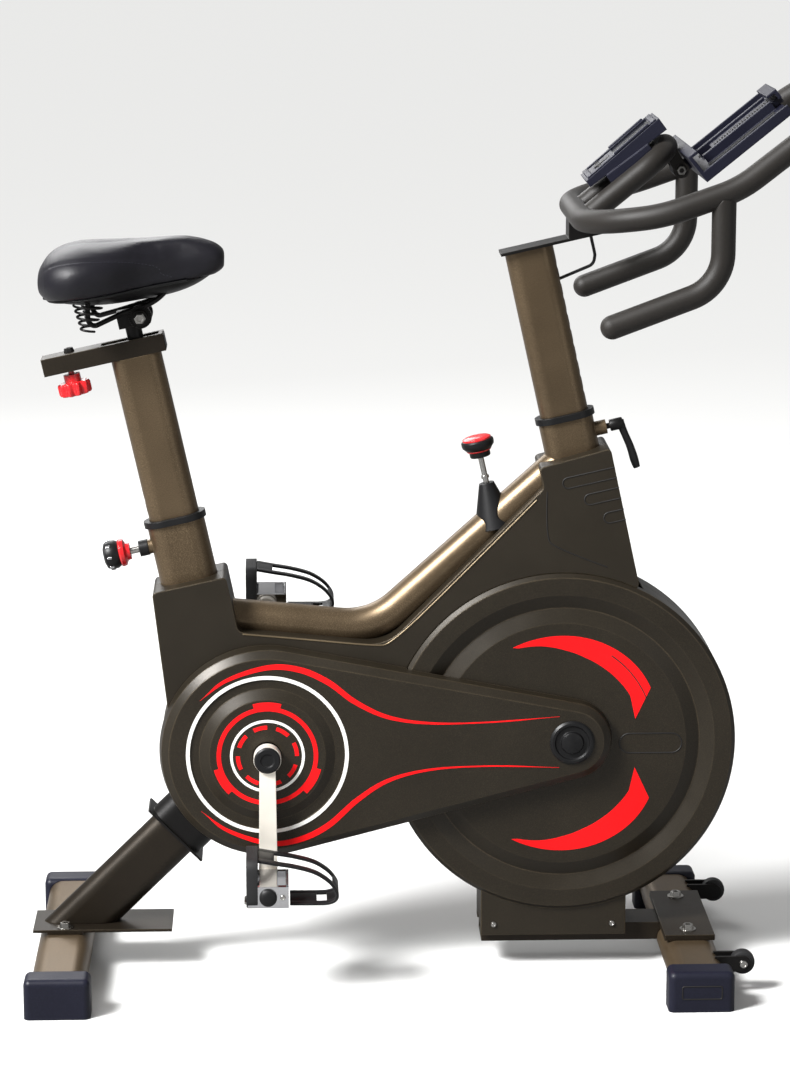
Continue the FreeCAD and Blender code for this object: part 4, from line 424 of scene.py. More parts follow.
def screwTree():  # a head narrowing to a flat top, with a socket sunk into the top, on every point
    tree, inside, out = newTree("screwHeads", [
        ("Radius", "NodeSocketFloat", 0.004), ("Height", "NodeSocketFloat", 0.002),
        ("Sides", "NodeSocketInt", 24), ("Turn", "NodeSocketVector", (0, 0, 0)),
        ("Material", "NodeSocketMaterial", None)])
    crown = addNode(tree, "ShaderNodeMath", [(0, inside.outputs["Radius"]), (1, 0.8)], operation="MULTIPLY")
    head = addNode(tree, "GeometryNodeMeshCone", [("Vertices", inside.outputs["Sides"]),
                                                  ("Radius Bottom", inside.outputs["Radius"]),
                                                  ("Radius Top", crown.outputs[0]),
                                                  ("Depth", inside.outputs["Height"])])
    rim = addNode(tree, "GeometryNodeExtrudeMesh", [("Mesh", head.outputs["Mesh"]),
                                                    ("Selection", head.outputs["Top"]),
                                                    ("Offset Scale", 0.0)], mode="FACES")
    narrow = addNode(tree, "GeometryNodeScaleElements", [("Geometry", rim.outputs["Mesh"]),
                                                         ("Selection", rim.outputs["Top"]), ("Scale", 0.6)])
    deep = addNode(tree, "ShaderNodeMath", [(0, inside.outputs["Height"]), (1, -0.6)], operation="MULTIPLY")
    socket = addNode(tree, "GeometryNodeExtrudeMesh", [("Mesh", narrow.outputs["Geometry"]),
                                                       ("Selection", rim.outputs["Top"]),
                                                       ("Offset Scale", deep.outputs[0])], mode="FACES")
    spread = addNode(tree, "GeometryNodeInstanceOnPoints", [("Points", inside.outputs["Geometry"]),
                                                            ("Instance", socket.outputs["Mesh"]),
                                                            ("Rotation", inside.outputs["Turn"])])
    return endTree(tree, inside, out, spread.outputs["Instances"])


def rowTree():  # small rounded blocks at even spaces along a line
    tree, inside, out = newTree("blocksInRow", [
        ("Spacing", "NodeSocketFloat", 0.004), ("Size", "NodeSocketVector", (0.003, 0.001, 0.001)),
        ("Round", "NodeSocketFloat", 0.0), ("Material", "NodeSocketMaterial", None)])
    line = addNode(tree, "GeometryNodeMeshToCurve", [("Mesh", inside.outputs["Geometry"])])
    even = addNode(tree, "GeometryNodeResampleCurve", [("Curve", line.outputs["Curve"]),
                                                       ("Length", inside.outputs["Spacing"])],
                   mode="LENGTH")
    heading = addNode(tree, "GeometryNodeInputTangent")
    facing = addNode(tree, "FunctionNodeAlignRotationToVector", [("Vector", heading.outputs["Tangent"])],
                     axis="X")
    block = addNode(tree, "GeometryNodeMeshCube", [("Size", inside.outputs["Size"]), ("Vertices X", 2)])
    soft = addNode(tree, "GeometryNodeSubdivisionSurface", [("Mesh", block.outputs["Mesh"]), ("Level", 1),
                                                            ("Edge Crease", inside.outputs["Round"])])
    spread = addNode(tree, "GeometryNodeInstanceOnPoints", [("Points", even.outputs["Curve"]),
                                                            ("Instance", soft.outputs["Mesh"]),
                                                            ("Rotation", facing.outputs["Rotation"])])
    return endTree(tree, inside, out, spread.outputs["Instances"])


def coilTree():  # a tapered coil spring, worked out from its turns
    tree, inside, out = newTree("coilSpring", [("Turns", "NodeSocketFloat", 4.0),
                                               ("Bottom", "NodeSocketFloat", 0.007),
                                               ("Top", "NodeSocketFloat", 0.02),
                                               ("Height", "NodeSocketFloat", 0.04),
                                               ("Wire", "NodeSocketFloat", 0.0018),
                                               ("Material", "NodeSocketMaterial", None)])
    coil = addNode(tree, "GeometryNodeCurveSpiral", [("Resolution", 28),
                                                     ("Rotations", inside.outputs["Turns"]),
                                                     ("Start Radius", inside.outputs["Bottom"]),
                                                     ("End Radius", inside.outputs["Top"]),
                                                     ("Height", inside.outputs["Height"])])
    ring = addNode(tree, "GeometryNodeCurvePrimitiveCircle",
                   [("Resolution", 10), ("Radius", inside.outputs["Wire"])])
    wire = addNode(tree, "GeometryNodeCurveToMesh", [("Curve", coil.outputs["Curve"]),
                                                     ("Profile Curve", ring.outputs["Curve"]),
                                                     ("Fill Caps", True)])
    return endTree(tree, inside, out, wire.outputs["Mesh"])


screws, rows, coils = screwTree(), rowTree(), coilTree()


def grown(tree, mesh, settings, matrix=None):  # run a tree on a mesh and keep the plain result
    holder = bpy.data.objects.new("seed", mesh)
    bpy.context.scene.collection.objects.link(holder)
    modifier = holder.modifiers.new("grow", "NODES")
    modifier.node_group = tree
    for item in tree.interface.items_tree:
        if item.in_out == "INPUT" and item.name in settings:
            modifier[item.identifier] = settings[item.name]
    result = bpy.data.meshes.new_from_object(holder.evaluated_get(bpy.context.evaluated_depsgraph_get()))
    holder.modifiers.clear()
    bpy.data.objects.remove(holder)
    if matrix is not None:
        result.transform(matrix)
    return result


def pointMesh(points, linked=False):
    mesh = bpy.data.meshes.new("points")
    pairs = [(step, step + 1) for step in range(len(points) - 1)] if linked else []
    mesh.from_pydata([tuple(point) for point in points], pairs, [])
    return mesh


def screwSet(name, points, axis, body, slot, material, radius=0.004, height=0.002, sides=24):
    turn = Vector((0, 0, 1)).rotation_difference(axis).to_euler()
    mesh = grown(screws, pointMesh(points), {"Radius": radius, "Height": height, "Sides": sides,
                                             "Turn": tuple(turn), "Material": material})
    return place(name, mesh, material, body, slot)


def blockRow(name, points, spacing, size, body, slot, material, sharp=0.4):
    mesh = grown(rows, pointMesh(points, True), {"Spacing": spacing, "Size": size, "Round": sharp,
                                                 "Material": material})
    return place(name, mesh, material, body, slot)


left = Vector((0, 1, 0))
print("helpers ready")


# printed rings, ribbons and crescents

def fourCorners(shape, here, side, low, high):  # a strip's cross section at one point of its line
    corners = [(here + side, low), (here - side, low), (here - side, high), (here + side, high)]
    return [shape.verts.new((corner.x, y, corner.y)) for corner, y in corners]


def band(name, line, halves, low, high, material, slot):  # a flat strip of changing width, lines in (x, z)
    def build(shape):
        rows = []
        for step, point in enumerate(line):
            here = Vector(point)
            before, after = Vector(line[max(step - 1, 0)]), Vector(line[min(step + 1, len(line) - 1)])
            heading = (after - before).normalized()
            side = Vector((-heading.y, heading.x)) * max(halves[step], 0.0002)
            rows.append(fourCorners(shape, here, side, low, high))
        for near, far in zip(rows, rows[1:]):
            for edge in range(4):
                shape.faces.new((near[edge], near[(edge + 1) % 4], far[(edge + 1) % 4], far[edge]))
        shape.faces.new(rows[0])
        shape.faces.new(rows[-1][::-1])
    return place(name, meshFrom(build), material, "frame", slot, smooth=False)


def arcBand(inner, outer, start, end, low, high, centre, steps=24):  # part of a ring, angles in degrees
    def build(shape):
        rows = []
        for step in range(steps + 1):
            share = step / steps
            angle = math.radians(start + (end - start) * share)
            r0 = inner(share) if callable(inner) else inner
            r1 = outer(share) if callable(outer) else outer
            row = []
            for radius, y in ((r0, low), (r1, low), (r1, high), (r0, high)):
                row.append(shape.verts.new((centre.x + radius * math.cos(angle), y,
                                            centre.z + radius * math.sin(angle))))
            rows.append(row)
        for near, far in zip(rows, rows[1:]):
            for edge in range(4):
                shape.faces.new((near[edge], near[(edge + 1) % 4], far[(edge + 1) % 4], far[edge]))
        if end - start != 360:
            shape.faces.new(rows[0])
            shape.faces.new(rows[-1][::-1])
    return meshFrom(build)


printed = {"thick": 0.0004, "rim": (0.1072, 0.1124), "redRing": (0.064, 0.070), "tab": (0.070, 0.0765),
           "tabSpan": 15, "whiteRing": (0.0478, 0.0516), "dash": (0.038, 0.0435), "dashes": 8,
           "dashSpan": 27}


def discPrint(side, face, rimFace):
    word = "Right" if side < 0 else "Left"
    high = face + side * printed["thick"]
    rim = rimFace + side * printed["thick"]
    white = joinMeshes(arcBand(*printed["rim"], 0, 360, rimFace, rim, crank, 120),
                       arcBand(*printed["whiteRing"], 0, 360, face, high, crank, 96))
    place("discWhiteRings" + word, white, whitePrint, "frame", "arm_metal", smooth=False)
    red = [arcBand(*printed["redRing"], 0, 360, face, high, crank, 96)]
    for step in range(3):
        middle = 90 + 120 * step
        red.append(arcBand(*printed["tab"], middle - printed["tabSpan"], middle + printed["tabSpan"],
                           face, high, crank, 10))
    for step in range(printed["dashes"]):
        start = 360 / printed["dashes"] * step
        red.append(arcBand(*printed["dash"], start, start + printed["dashSpan"], face, high, crank, 8))
    place("discRedRings" + word, joinMeshes(*red), redPrint, "frame", "red_plastic", smooth=False)


discPrint(-1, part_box("crank_disc_right")[0].y, beltFace)
discPrint(1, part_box("crank_disc_left")[1].y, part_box("crank_disc_left")[1].y - 0.001)

ribbons = {"upper": [(-92, 78), (-56, 106), (0, 124), (44, 121), (84, 103), (122, 74), (168, 52),
                     (228, 43), (310, 44), (404, 51)], "lower": [(-92, -80), (-56, -108), (0, -127),
                                                                 (44, -122), (84, -102), (124, -66),
                                                                 (168, -38), (228, -23), (310, -19),
                                                                 (404, -22)], "half": 0.0042}
for word, points in (("Upper", ribbons["upper"]), ("Lower", ribbons["lower"])):
    line = smoothLine([(crank.x + x / 1000, crank.z + z / 1000) for x, z in points], 10)
    count = len(line) - 1
    halves = []
    for step in range(count + 1):
        share = step / count
        halves.append(ribbons["half"] * (math.sin(math.pi * min(share / 0.84, 1) ** 0.9) * 0.75 + 0.22)
                      * min(1, share * 14, (1 - share) * 14))
    band("coverRibbon" + word, line, halves, beltFace, beltFace - printed["thick"], redPrint, "red_plastic")

crescent = {"outer": 0.1545, "start": 117, "corner": 33, "tail": 19,
            "inner": [0.152, 0.144, 0.1345, 0.127, 0.122, 0.1185, 0.116]}


def crescentMesh(low, high, flip):
    outline = []
    steps = 28
    for step in range(steps + 1):
        angle = crescent["start"] + (crescent["corner"] - crescent["start"]) * step / steps
        outline.append((angle, crescent["outer"] - 0.009 * (step / steps) ** 4))
    outline.append((crescent["tail"], 0.107))
    values = crescent["inner"]
    for step in range(steps):
        share = 1 - step / steps
        along = share * (len(values) - 1)
        index = int(min(along, len(values) - 2))
        part = along - index
        radius = values[index] * (1 - part) + values[index + 1] * part
        outline.append((crescent["start"] + (crescent["corner"] + 3 - crescent["start"]) * share, radius))
    points = [(cover.x + radius * math.cos(math.radians(angle)),
               cover.z + flip * radius * math.sin(math.radians(angle))) for angle, radius in outline]
    return plate(points, low, high)


for word, side in (("Right", -1), ("Left", 1)):
    face = side * abs(coverFace)
    high = face + side * printed["thick"]
    shapes = joinMeshes(crescentMesh(face, high, 1), crescentMesh(face, high, -1))
    place("coverCrescents" + word, shapes, redPrint, "frame", "red_plastic", smooth=False)
    split = arcBand(lambda t: 0.1415 - 0.010 * t, lambda t: 0.1432 - 0.0105 * t, 62, 27, high,
                    high + side * 0.0003, cover, 20)
    place("crescentLine" + word, split, darkPrint, "frame", "cover_plastic", smooth=False)
print("prints ready")

# details on the covers

trim = {"slotAhead": 0.123, "slotLong": 0.087, "slotTall": 0.028, "bead": 0.0009, "boss": 0.031,
        "skirtScrews": (316, 483), "skirtScrewUp": 63, "rimReach": 0.226,
        "rimAngles": (18, 70, 122, 200, 250, 302)}
for word, side in (("Right", -1), ("Left", 1)):
    face = side * abs(coverFace)
    half, radius = trim["slotLong"] / 2 - trim["slotTall"] / 2, trim["slotTall"] / 2
    oblong = []
    for turn, centre in ((-90, half), (90, -half)):
        for step in range(13):
            angle = math.radians(turn + 15 * step)
            oblong.append(Vector((cover.x + trim["slotAhead"] + centre + radius * math.cos(angle), face,
                                  cover.z + radius * math.sin(angle))))
    place("coverSlot" + word, tube(oblong, trim["bead"], closed=True, smooth=False), darkPrint, "frame",
          "cover_plastic")
    bossFace = beltFace if side < 0 else face
    profile = [(trim["boss"], 0), (trim["boss"], 0.0015), (0.028, 0.004), (0.0245, 0.004),
               (0.0225, 0.0016), (0.0165, 0.0016), (0.0145, 0.0052), (0.005, 0.0085), (0, 0.0088)]
    place("shaftBoss" + word, lathe(profile, Vector((0, side, 0)), Vector((axle.x, bossFace, axle.z))),
          blackPlastic, "frame", "black_plastic")
    points = [at(ahead, side * 50, trim["skirtScrewUp"]) for ahead in trim["skirtScrews"]]
    screwSet("skirtScrews" + word, points, Vector((0, side, 0)), "frame", "steel", steel, 0.0042, 0.0022)
    rimScrews = []
    for angle in trim["rimAngles"]:
        turn = math.radians(angle)
        rimScrews.append(Vector((cover.x + trim["rimReach"] * math.cos(turn), face,
                                 cover.z + trim["rimReach"] * math.sin(turn))))
    if side > 0:
        screwSet("coverScrews" + word, rimScrews, Vector((0, side, 0)), "frame", "steel", blackPaint,
                 0.0045, 0.002)

shroud = {"head": (412.9, 781), "lip": [(-33, 486), (60, 477.3), (150, 468), (172, 470), (260, 557),
                                        (372, 672)], "half": 0.0498,
          "panel": [(352, 640), (386, 683), (384, 620), (398, 604), (470, 577)]}
for word, side in (("Right", -1), ("Left", 1)):
    y = side * shroud["half"] * 1000
    lip = tube([at(x, y, z) for x, z in shroud["lip"]], 0.0013)
    place("fairingLip" + word, lip, rimBronze, "frame", "frame_paint")
    seam = tube([at(x, y * 1.004, z) for x, z in shroud["panel"][1:]], 0.0008)
    place("shroudSeam" + word, seam, darkPrint, "frame", "cover_plastic")
    headBase = at(shroud["head"][0], y * 1.003, shroud["head"][1])
    grooves = []
    for reach, along in ((-17, -84), (7.5, -113), (28, -144)):
        rim = []
        for across, up in ((50, along + 7.5), (reach, along + 7.5)):
            rim.append(headBase + acrossHead * across / 1000 + headUp * up / 1000)
        for step in range(1, 8):
            angle = math.radians(90 + 22.5 * step)
            rim.append(headBase + acrossHead * (reach + 7.5 * math.cos(angle)) / 1000
                       + headUp * (along + 7.5 * math.sin(angle)) / 1000)
        for across, up in ((reach, along - 7.5), (50, along - 7.5)):
            rim.append(headBase + acrossHead * across / 1000 + headUp * up / 1000)
        grooves.append(tube(rim, 0.0009, smooth=False))
    place("shroudGrooves" + word, joinMeshes(*grooves), darkPrint, "frame", "cover_plastic")
ribTop = at(shroud["head"][0], 0, shroud["head"][1]) + acrossHead * 0.0495 - headUp * 0.074
ribFoot = at(shroud["head"][0], 0, shroud["head"][1]) + acrossHead * 0.0490 - headUp * 0.190
blockRow("shroudRibs", [ribTop, ribFoot], 0.0095, (0.0035, 0.078, 0.0028), "frame", "cover_plastic",
         coverPlastic, 0.8)
labelFrame = rounded([(-27, 19), (27, 19), (27, 37), (-27, 37)], 3)
for word, side in (("Right", -1), ("Left", 1)):
    frameLine = [at(587.5 + x, side * 245, z) for x, z in labelFrame]
    place("capPanel" + word, tube(frameLine, 0.0008, closed=True, smooth=False), darkPrint, "frame",
          "navy_plastic")
print("covers ready")

# crank and pedals

crankTrim = {"capRadius": 0.0182, "capRise": 0.0045, "hubFace": 0.1045}
for word, side in (("Right", -1), ("Left", 1)):
    axis = Vector((0, side, 0))
    profile = [(crankTrim["capRadius"], 0), (crankTrim["capRadius"], 0.0028),
               (0.0162, crankTrim["capRise"]), (0.0098, crankTrim["capRise"]), (0.0086, 0.003),
               (0, 0.003)]
    place("crankCap" + word, lathe(profile, axis, Vector((crank.x, side * crankTrim["hubFace"], crank.z))),
          blackPlastic, "crank", "black_plastic")
    joint = jointPlace["pedal_" + word.lower() + "_spin"]
    body = "pedal_" + word.lower()
    low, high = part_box(body)
    outer = high.y if side > 0 else low.y
    profile = [(0.012, -0.0005), (0.012, 0.003), (0.0095, 0.0055), (0.004, 0.0065), (0, 0.0065)]
    place("pedalCap" + word, lathe(profile, axis, Vector((joint.x, outer, joint.z))), blackPlastic, body,
          "black_plastic")
    teeth = []
    for x in (low.x + 0.002, high.x - 0.002):
        for z in (low.z, high.z):
            line = [Vector((x, low.y + 0.006, z)), Vector((x, high.y - 0.006, z))]
            teeth.append(grown(rows, pointMesh(line, True), {"Spacing": 0.0056,
                                                             "Size": (0.0028, 0.0036, 0.0032),
                                                             "Round": 0.7, "Material": chrome}))
    place("pedalTeeth" + word, joinMeshes(*teeth), chrome, body, "chrome_metal")
    bolts = [Vector((x, outer, joint.z)) for x in (low.x + 0.008, high.x - 0.008)]
    screwSet("pedalScrews" + word, bolts, axis, body, "steel", steel, 0.004, 0.0022)
    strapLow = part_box("toe_cage_" + word.lower())[0]
    buckleX, buckleZ = joint.x - 0.022, strapLow.z - 0.0005
    middle = (low.y + high.y) / 2
    outline = rounded([(buckleX - 0.011, buckleZ), (buckleX + 0.011, buckleZ),
                       (buckleX + 0.011, buckleZ + 0.004), (buckleX - 0.011, buckleZ + 0.004)], 0.0015, 3)
    place("strapBuckle" + word, bevelled(plate(outline, middle - 0.014, middle + 0.014), 0.0006), steel,
          body, "steel")


def strip(line, thick, low, high, closed=False):  # a bent strap: line in (x, z), extruded along Y
    def build(shape):
        rows = []
        count = len(line)
        for step in range(count):
            before = Vector(line[(step - 1) % count] if closed else line[max(step - 1, 0)])
            after = Vector(line[(step + 1) % count] if closed else line[min(step + 1, count - 1)])
            heading = (after - before).normalized()
            side = Vector((-heading.y, heading.x)) * thick / 2
            here = Vector(line[step])
            rows.append(fourCorners(shape, here, side, low, high))
        pairs = list(zip(rows, rows[1:])) + ([(rows[-1], rows[0])] if closed else [])
        for near, far in pairs:
            for edge in range(4):
                shape.faces.new((near[edge], near[(edge + 1) % 4], far[(edge + 1) % 4], far[edge]))
        if not closed:
            shape.faces.new(rows[0])
            shape.faces.new(rows[-1][::-1])
    return meshFrom(build)


cage = {"line": [(29.5, -13.4), (58, -13.6), (80, -13.2), (91.5, -9), (94.6, -1), (90, 9), (80, 20),
                 (62, 31), (36, 38.5), (8, 43.5), (-14, 47.6)], "thick": 0.0036,
        "sides": ((-0.029, -0.0175), (0.0175, 0.029)), "strapTop": 0.0512, "strapFoot": -0.0162,
        "strapHalf": 0.0414, "strapThick": 0.0024, "round": 0.016, "strapBack": 0.022}
for word, side in (("Right", -1), ("Left", 1)):
    joint = jointPlace["pedal_" + word.lower() + "_spin"]
    low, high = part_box("pedal_" + word.lower())
    middle = (low.y + high.y) / 2
    line = [(joint.x + x / 1000, joint.z + z / 1000) for x, z in smoothLine(cage["line"], 6)]
    shapes = [strip(line, cage["thick"], middle + near, middle + far) for near, far in cage["sides"]]
    toe = [point for point in line if point[0] > joint.x + 0.078 and point[1] < joint.z + 0.012]
    shapes.append(strip(toe, cage["thick"] * 0.9, middle - 0.018, middle + 0.018))
    shapes.append(strip(line[:9], cage["thick"] * 0.9, middle - 0.018, middle + 0.018))
    top = [point for point in line if point[0] < joint.x + 0.012]
    shapes.append(strip(top, cage["thick"] * 0.9, middle - 0.018, middle + 0.018))
    half = cage["strapHalf"]
    loop = rounded([(-half, cage["strapFoot"]), (half, cage["strapFoot"]), (half, cage["strapTop"]),
                    (-half, cage["strapTop"])], cage["round"], 7)
    strap = strip(loop, cage["strapThick"], -0.0078, 0.0078, closed=True)
    strap.transform(Matrix.Rotation(math.pi / 2, 4, "Z"))
    strap.transform(Matrix.Translation((joint.x - cage["strapBack"], middle, joint.z)))
    piece = joinMeshes(*shapes)
    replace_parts(place("toeCage" + word, bevelled(piece, 0.0005), blackPlastic, "pedal_" + word.lower(),
                      "strap_rubber"), "toe_cage_" + word.lower())
    place("toeStrap" + word, bevelled(strap, 0.0005), beltRubber, "pedal_" + word.lower(), "strap_rubber")
print("crank ready")

# seat post, slider and knobs

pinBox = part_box("seat_pin")
pull = {"radius": 0.021, "length": 0.0727}
pinEnd = Vector((pinBox[0].x + pull["radius"] * acrossSeat.z, 0,
                 pinBox[0].z + pull["radius"] * acrossSeat.x))
grip = lathe([(0, 0), (0.011, 0.0004), (0.0175, 0.003), (0.0205, 0.009), (0.0195, 0.018),
              (0.0165, 0.0225), (0, 0.0226)], acrossSeat, pinEnd)
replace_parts(place("pullKnob", grip, blackPlastic, "seat_pin", "black_plastic"), "seat_pin")
collar = lathe([(0, 0.0226), (0.0185, 0.0226), (0.0195, 0.0245), (0.0185, 0.0295), (0.0125, 0.0325),
                (0.0115, 0.0375), (0, 0.0376)], acrossSeat, pinEnd)
place("pullKnobRing", collar, redPlastic, "seat_pin", "red_plastic")
place("pullPin", lathe([(0, 0.0376), (0.005, 0.0376), (0.005, pull["length"] - 0.001),
                        (0.004, pull["length"]), (0, pull["length"])], acrossSeat, pinEnd), steel,
      "seat_pin", "steel")
studs = {"count": 8, "reach": 0.0195, "along": 0.012}
flutes = []
for step in range(studs["count"]):
    turned = Matrix.Rotation(math.tau * step / studs["count"], 3, acrossSeat) @ seatUp
    flutes.append(pinEnd + acrossSeat * studs["along"] + turned * studs["reach"])
screwSet("pullKnobStuds", flutes, -acrossSeat, "seat_pin", "chrome_metal", chrome, 0.0024, 0.006)

knobSeat = jointPlace["slider_knob_turn"]
starSide = [(0.0, 0), (0.72, 0), (0.94, 0.06), (1.0, 0.2), (1.0, 0.8), (0.94, 0.94), (0.72, 1), (0, 1)]


def starMesh(radius, wave, lobes, height, axis, centre):
    def build(shape):
        sides = lobes * 12
        rings = []
        for share, along in starSide:
            ring = []
            for step in range(sides):
                angle = math.tau * step / sides
                reach = (radius - wave + wave * math.cos(lobes * angle)) * share
                ring.append(shape.verts.new((reach * math.cos(angle), reach * math.sin(angle),
                                             along * height)))
            rings.append(ring)
        for lower, upper in zip(rings, rings[1:]):
            for step in range(sides):
                after = (step + 1) % sides
                shape.faces.new((lower[step], lower[after], upper[after], upper[step]))
    mesh = meshFrom(build)
    mesh.transform(turnTo(axis, centre))
    return mesh


star = joinMeshes(starMesh(0.0228, 0.0022, 10, 0.019, -seatUp, knobSeat - seatUp * 0.0105),
                  lathe([(0, 0), (0.0115, 0), (0.0115, 0.011), (0, 0.011)], -seatUp, knobSeat),
                  lathe([(0, -0.0085), (0.004, -0.0085), (0.004, 0), (0, 0)], -seatUp, knobSeat))
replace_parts(place("starKnob", star, redPlastic, "slider_knob", "red_plastic"), "slider_knob")


def slider(across, up, side=0):  # millimetres in the slider tube's own directions
    along = knobSeat + acrossSeat * (across + 92) / 1000 + seatUp * (up + 6) / 1000
    return along + Vector((0, side / 1000, 0))


def block(corner, size, span):  # a box in some sloping frame, given the frame's function
    def build(shape):
        verts = []
        ground = [(0, 0, 0), (1, 0, 0), (1, 1, 0), (0, 1, 0)]
        for x, y, z in ground + [(x, y, 1) for x, y, z in ground]:
            verts.append(shape.verts.new(span(corner[0] + x * size[0], corner[1] + y * size[1],
                                              corner[2] + z * size[2])))
        for face in ((0, 1, 2, 3), (4, 5, 6, 7), (0, 1, 5, 4), (1, 2, 6, 5), (2, 3, 7, 6), (3, 0, 4, 7)):
            shape.faces.new([verts[index] for index in face])
    return meshFrom(build)


plug = {"corner": (43, 2, -18), "size": (0.8, 20, 36)}
place("sliderPlug", bevelled(block(plug["corner"], plug["size"], slider), 0.0003), blackPlastic,
      "seat_post", "black_plastic")
screwSet("sliderBolt", [slider(-88, 24)], seatUp, "seat_post", "black_plastic", blackPaint, 0.0075, 0.006,
         6)

tilt = jointPlace["saddle_tilt"]
for word, side in (("Right", -1), ("Left", 1)):
    axis = Vector((0, side, 0))
    circle = []
    for step in range(41):
        angle = math.tau * step / 40
        circle.append(tilt + Vector((0.0148 * math.cos(angle), side * 0.0262, 0.0148 * math.sin(angle))))
    blockRow("clampTeeth" + word, circle, 0.0031, (0.0016, 0.0028, 0.0022), "saddle", "black_paint",
             blackPaint, 0.8)
    nut = tilt + axis * 0.041
    screwSet("clampNut" + word, [nut], axis, "seat_carriage", "steel", steel, 0.0085, 0.005, 6)
    spring = {"Turns": 4.5, "Bottom": 0.0085, "Top": 0.019, "Height": 0.036, "Wire": 0.0017,
              "Material": blackPaint}
    foot = at(-237, side * 56.6, 909)
    mesh = grown(coils, pointMesh([(0, 0, 0)]), spring, Matrix.Translation(foot))
    place("saddleSpring" + word, mesh, blackPaint, "saddle", "black_paint")
print("seat fittings ready")

# saddle

saddle = {"length": 0.256, "half": 0.101, "nose": 0.033, "tail": -307, "square": 2.35, "voxel": 0.0045,
          "pressure": 4.0, "cap": 0.004, "frames": 20, "seam": 0.8, "seamDepth": 0.0013,
          "seamWide": 0.0026, "groove": 0.0035, "grooveWide": 0.012}
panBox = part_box("saddle_base")
floorLevel = panBox[0].z + 0.006
tailX = at(saddle["tail"], 0, 0).x
wide, nose = saddle["half"], saddle["nose"]
stations = [(0.0, wide * 0.42, 12, 41), (0.05, wide * 0.72, 2, 60), (0.12, wide * 0.9, -4, 71),
            (0.22, wide * 0.985, -6, 76), (0.38, wide * 0.88, -6, 78), (0.56, wide * 0.55, 0, 81),
            (0.72, nose * 1.13, 8, 84), (0.86, nose * 0.95, 24, 83), (0.95, nose * 0.76, 37, 78),
            (1.0, nose * 0.46, 46, 69)]
levels = smoothLine(stations, 6)
panSlope = math.tan(math.radians(8))


def panLevel(x):
    return floorLevel + 0.0112 + (x - tailX - 0.3 * saddle["length"]) * panSlope


def halfAt(share):
    for before, after in zip(levels, levels[1:]):
        if before[0] <= share <= after[0]:
            part = (share - before[0]) / max(after[0] - before[0], 1e-9)
            return before[1] * (1 - part) + after[1] * part
    return levels[-1][1]


def power(value, exponent):
    return math.copysign(abs(value) ** exponent, value)


def saddleShape(shape):
    rings = []
    for share, half, low, high in levels:
        x = tailX + share * saddle["length"]
        middle, tall = floorLevel + (low + high) / 2000, (high - low) / 2000
        ring = []
        for step in range(48):
            angle = math.tau * step / 48
            y = half * power(math.cos(angle), 2 / saddle["square"])
            z = middle + tall * power(math.sin(angle), 2 / saddle["square"])
            ring.append(shape.verts.new((x, y * 0.985, max(z - 0.0012, panLevel(x)))))
        rings.append(ring)
    for near, far in zip(rings, rings[1:]):
        for step in range(48):
            after = (step + 1) % 48
            shape.faces.new((near[step], near[after], far[after], far[step]))
    for ring in (rings[0], rings[-1]):
        centre = shape.verts.new(sum((vert.co for vert in ring), Vector()) / len(ring))
        for step in range(48):
            shape.faces.new((ring[step], ring[(step + 1) % 48], centre))


def modified(mesh, *settings):  # apply modifiers given as (kind, values)
    holder = bpy.data.objects.new("soft", mesh)
    bpy.context.scene.collection.objects.link(holder)
    for kind, values in settings:
        modifier = holder.modifiers.new(kind, kind)
        for key, value in values.items():
            setattr(modifier, key, value)
    result = bpy.data.meshes.new_from_object(holder.evaluated_get(bpy.context.evaluated_depsgraph_get()))
    bpy.data.objects.remove(holder)
    return result


def inflated(mesh, pressure, cap, frames):  # a short cloth run under inner pressure, motion capped
    holder = bpy.data.objects.new("cloth", mesh)
    bpy.context.scene.collection.objects.link(holder)
    cloth = holder.modifiers.new("cloth", "CLOTH")
    cloth.settings.use_pressure = True
    cloth.settings.uniform_pressure_force = pressure
    cloth.settings.effector_weights.gravity = 0
    cloth.settings.quality = 5
    cloth.point_cache.frame_start = 1
    cloth.point_cache.frame_end = frames
    for frameNumber in range(1, frames + 1):
        bpy.context.scene.frame_set(frameNumber)
    result = bpy.data.meshes.new_from_object(holder.evaluated_get(bpy.context.evaluated_depsgraph_get()))
    bpy.context.scene.frame_set(1)
    for moved, rest in zip(result.vertices, mesh.vertices):
        shift = moved.co - rest.co
        above = min(1, max(0, (rest.co.z - panLevel(rest.co.x)) / 0.014))
        if shift.length > cap:
            shift *= cap / shift.length
        moved.co = rest.co + shift * above
    bpy.data.objects.remove(holder)
    return result


pad = modified(meshFrom(saddleShape), ("SUBSURF", {"levels": 1, "render_levels": 1}),
               ("REMESH", {"mode": "VOXEL", "voxel_size": saddle["voxel"]}),
               ("SMOOTH", {"factor": 0.5, "iterations": 4}))
pad = inflated(pad, saddle["pressure"], saddle["cap"], saddle["frames"])
pad = modified(pad, ("SUBSURF", {"levels": 1, "render_levels": 1}))
for vert in pad.vertices:
    share = min(max((vert.co.x - tailX) / saddle["length"], 0), 1)
    half = halfAt(share)
    if vert.co.z > panLevel(vert.co.x) + 0.022:
        off = abs(abs(vert.co.y) - saddle["seam"] * half)
        fade = min(1, share * 12, (1 - share) * 10)
        dip = saddle["seamDepth"] * math.exp(-(off / saddle["seamWide"]) ** 2) * fade
        run = max(0, math.sin(math.pi * min(1, share / 0.75)))
        groove = saddle["groove"] * math.exp(-(vert.co.y / saddle["grooveWide"]) ** 2) * run
        vert.co -= Vector((0, 0, dip + groove))
cushion = place("saddleCushion", pad, seatVinyl, "saddle", "cushion_vinyl")
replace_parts(cushion, "saddle_cushion")
reach = cushion.evaluated_get(bpy.context.evaluated_depsgraph_get())
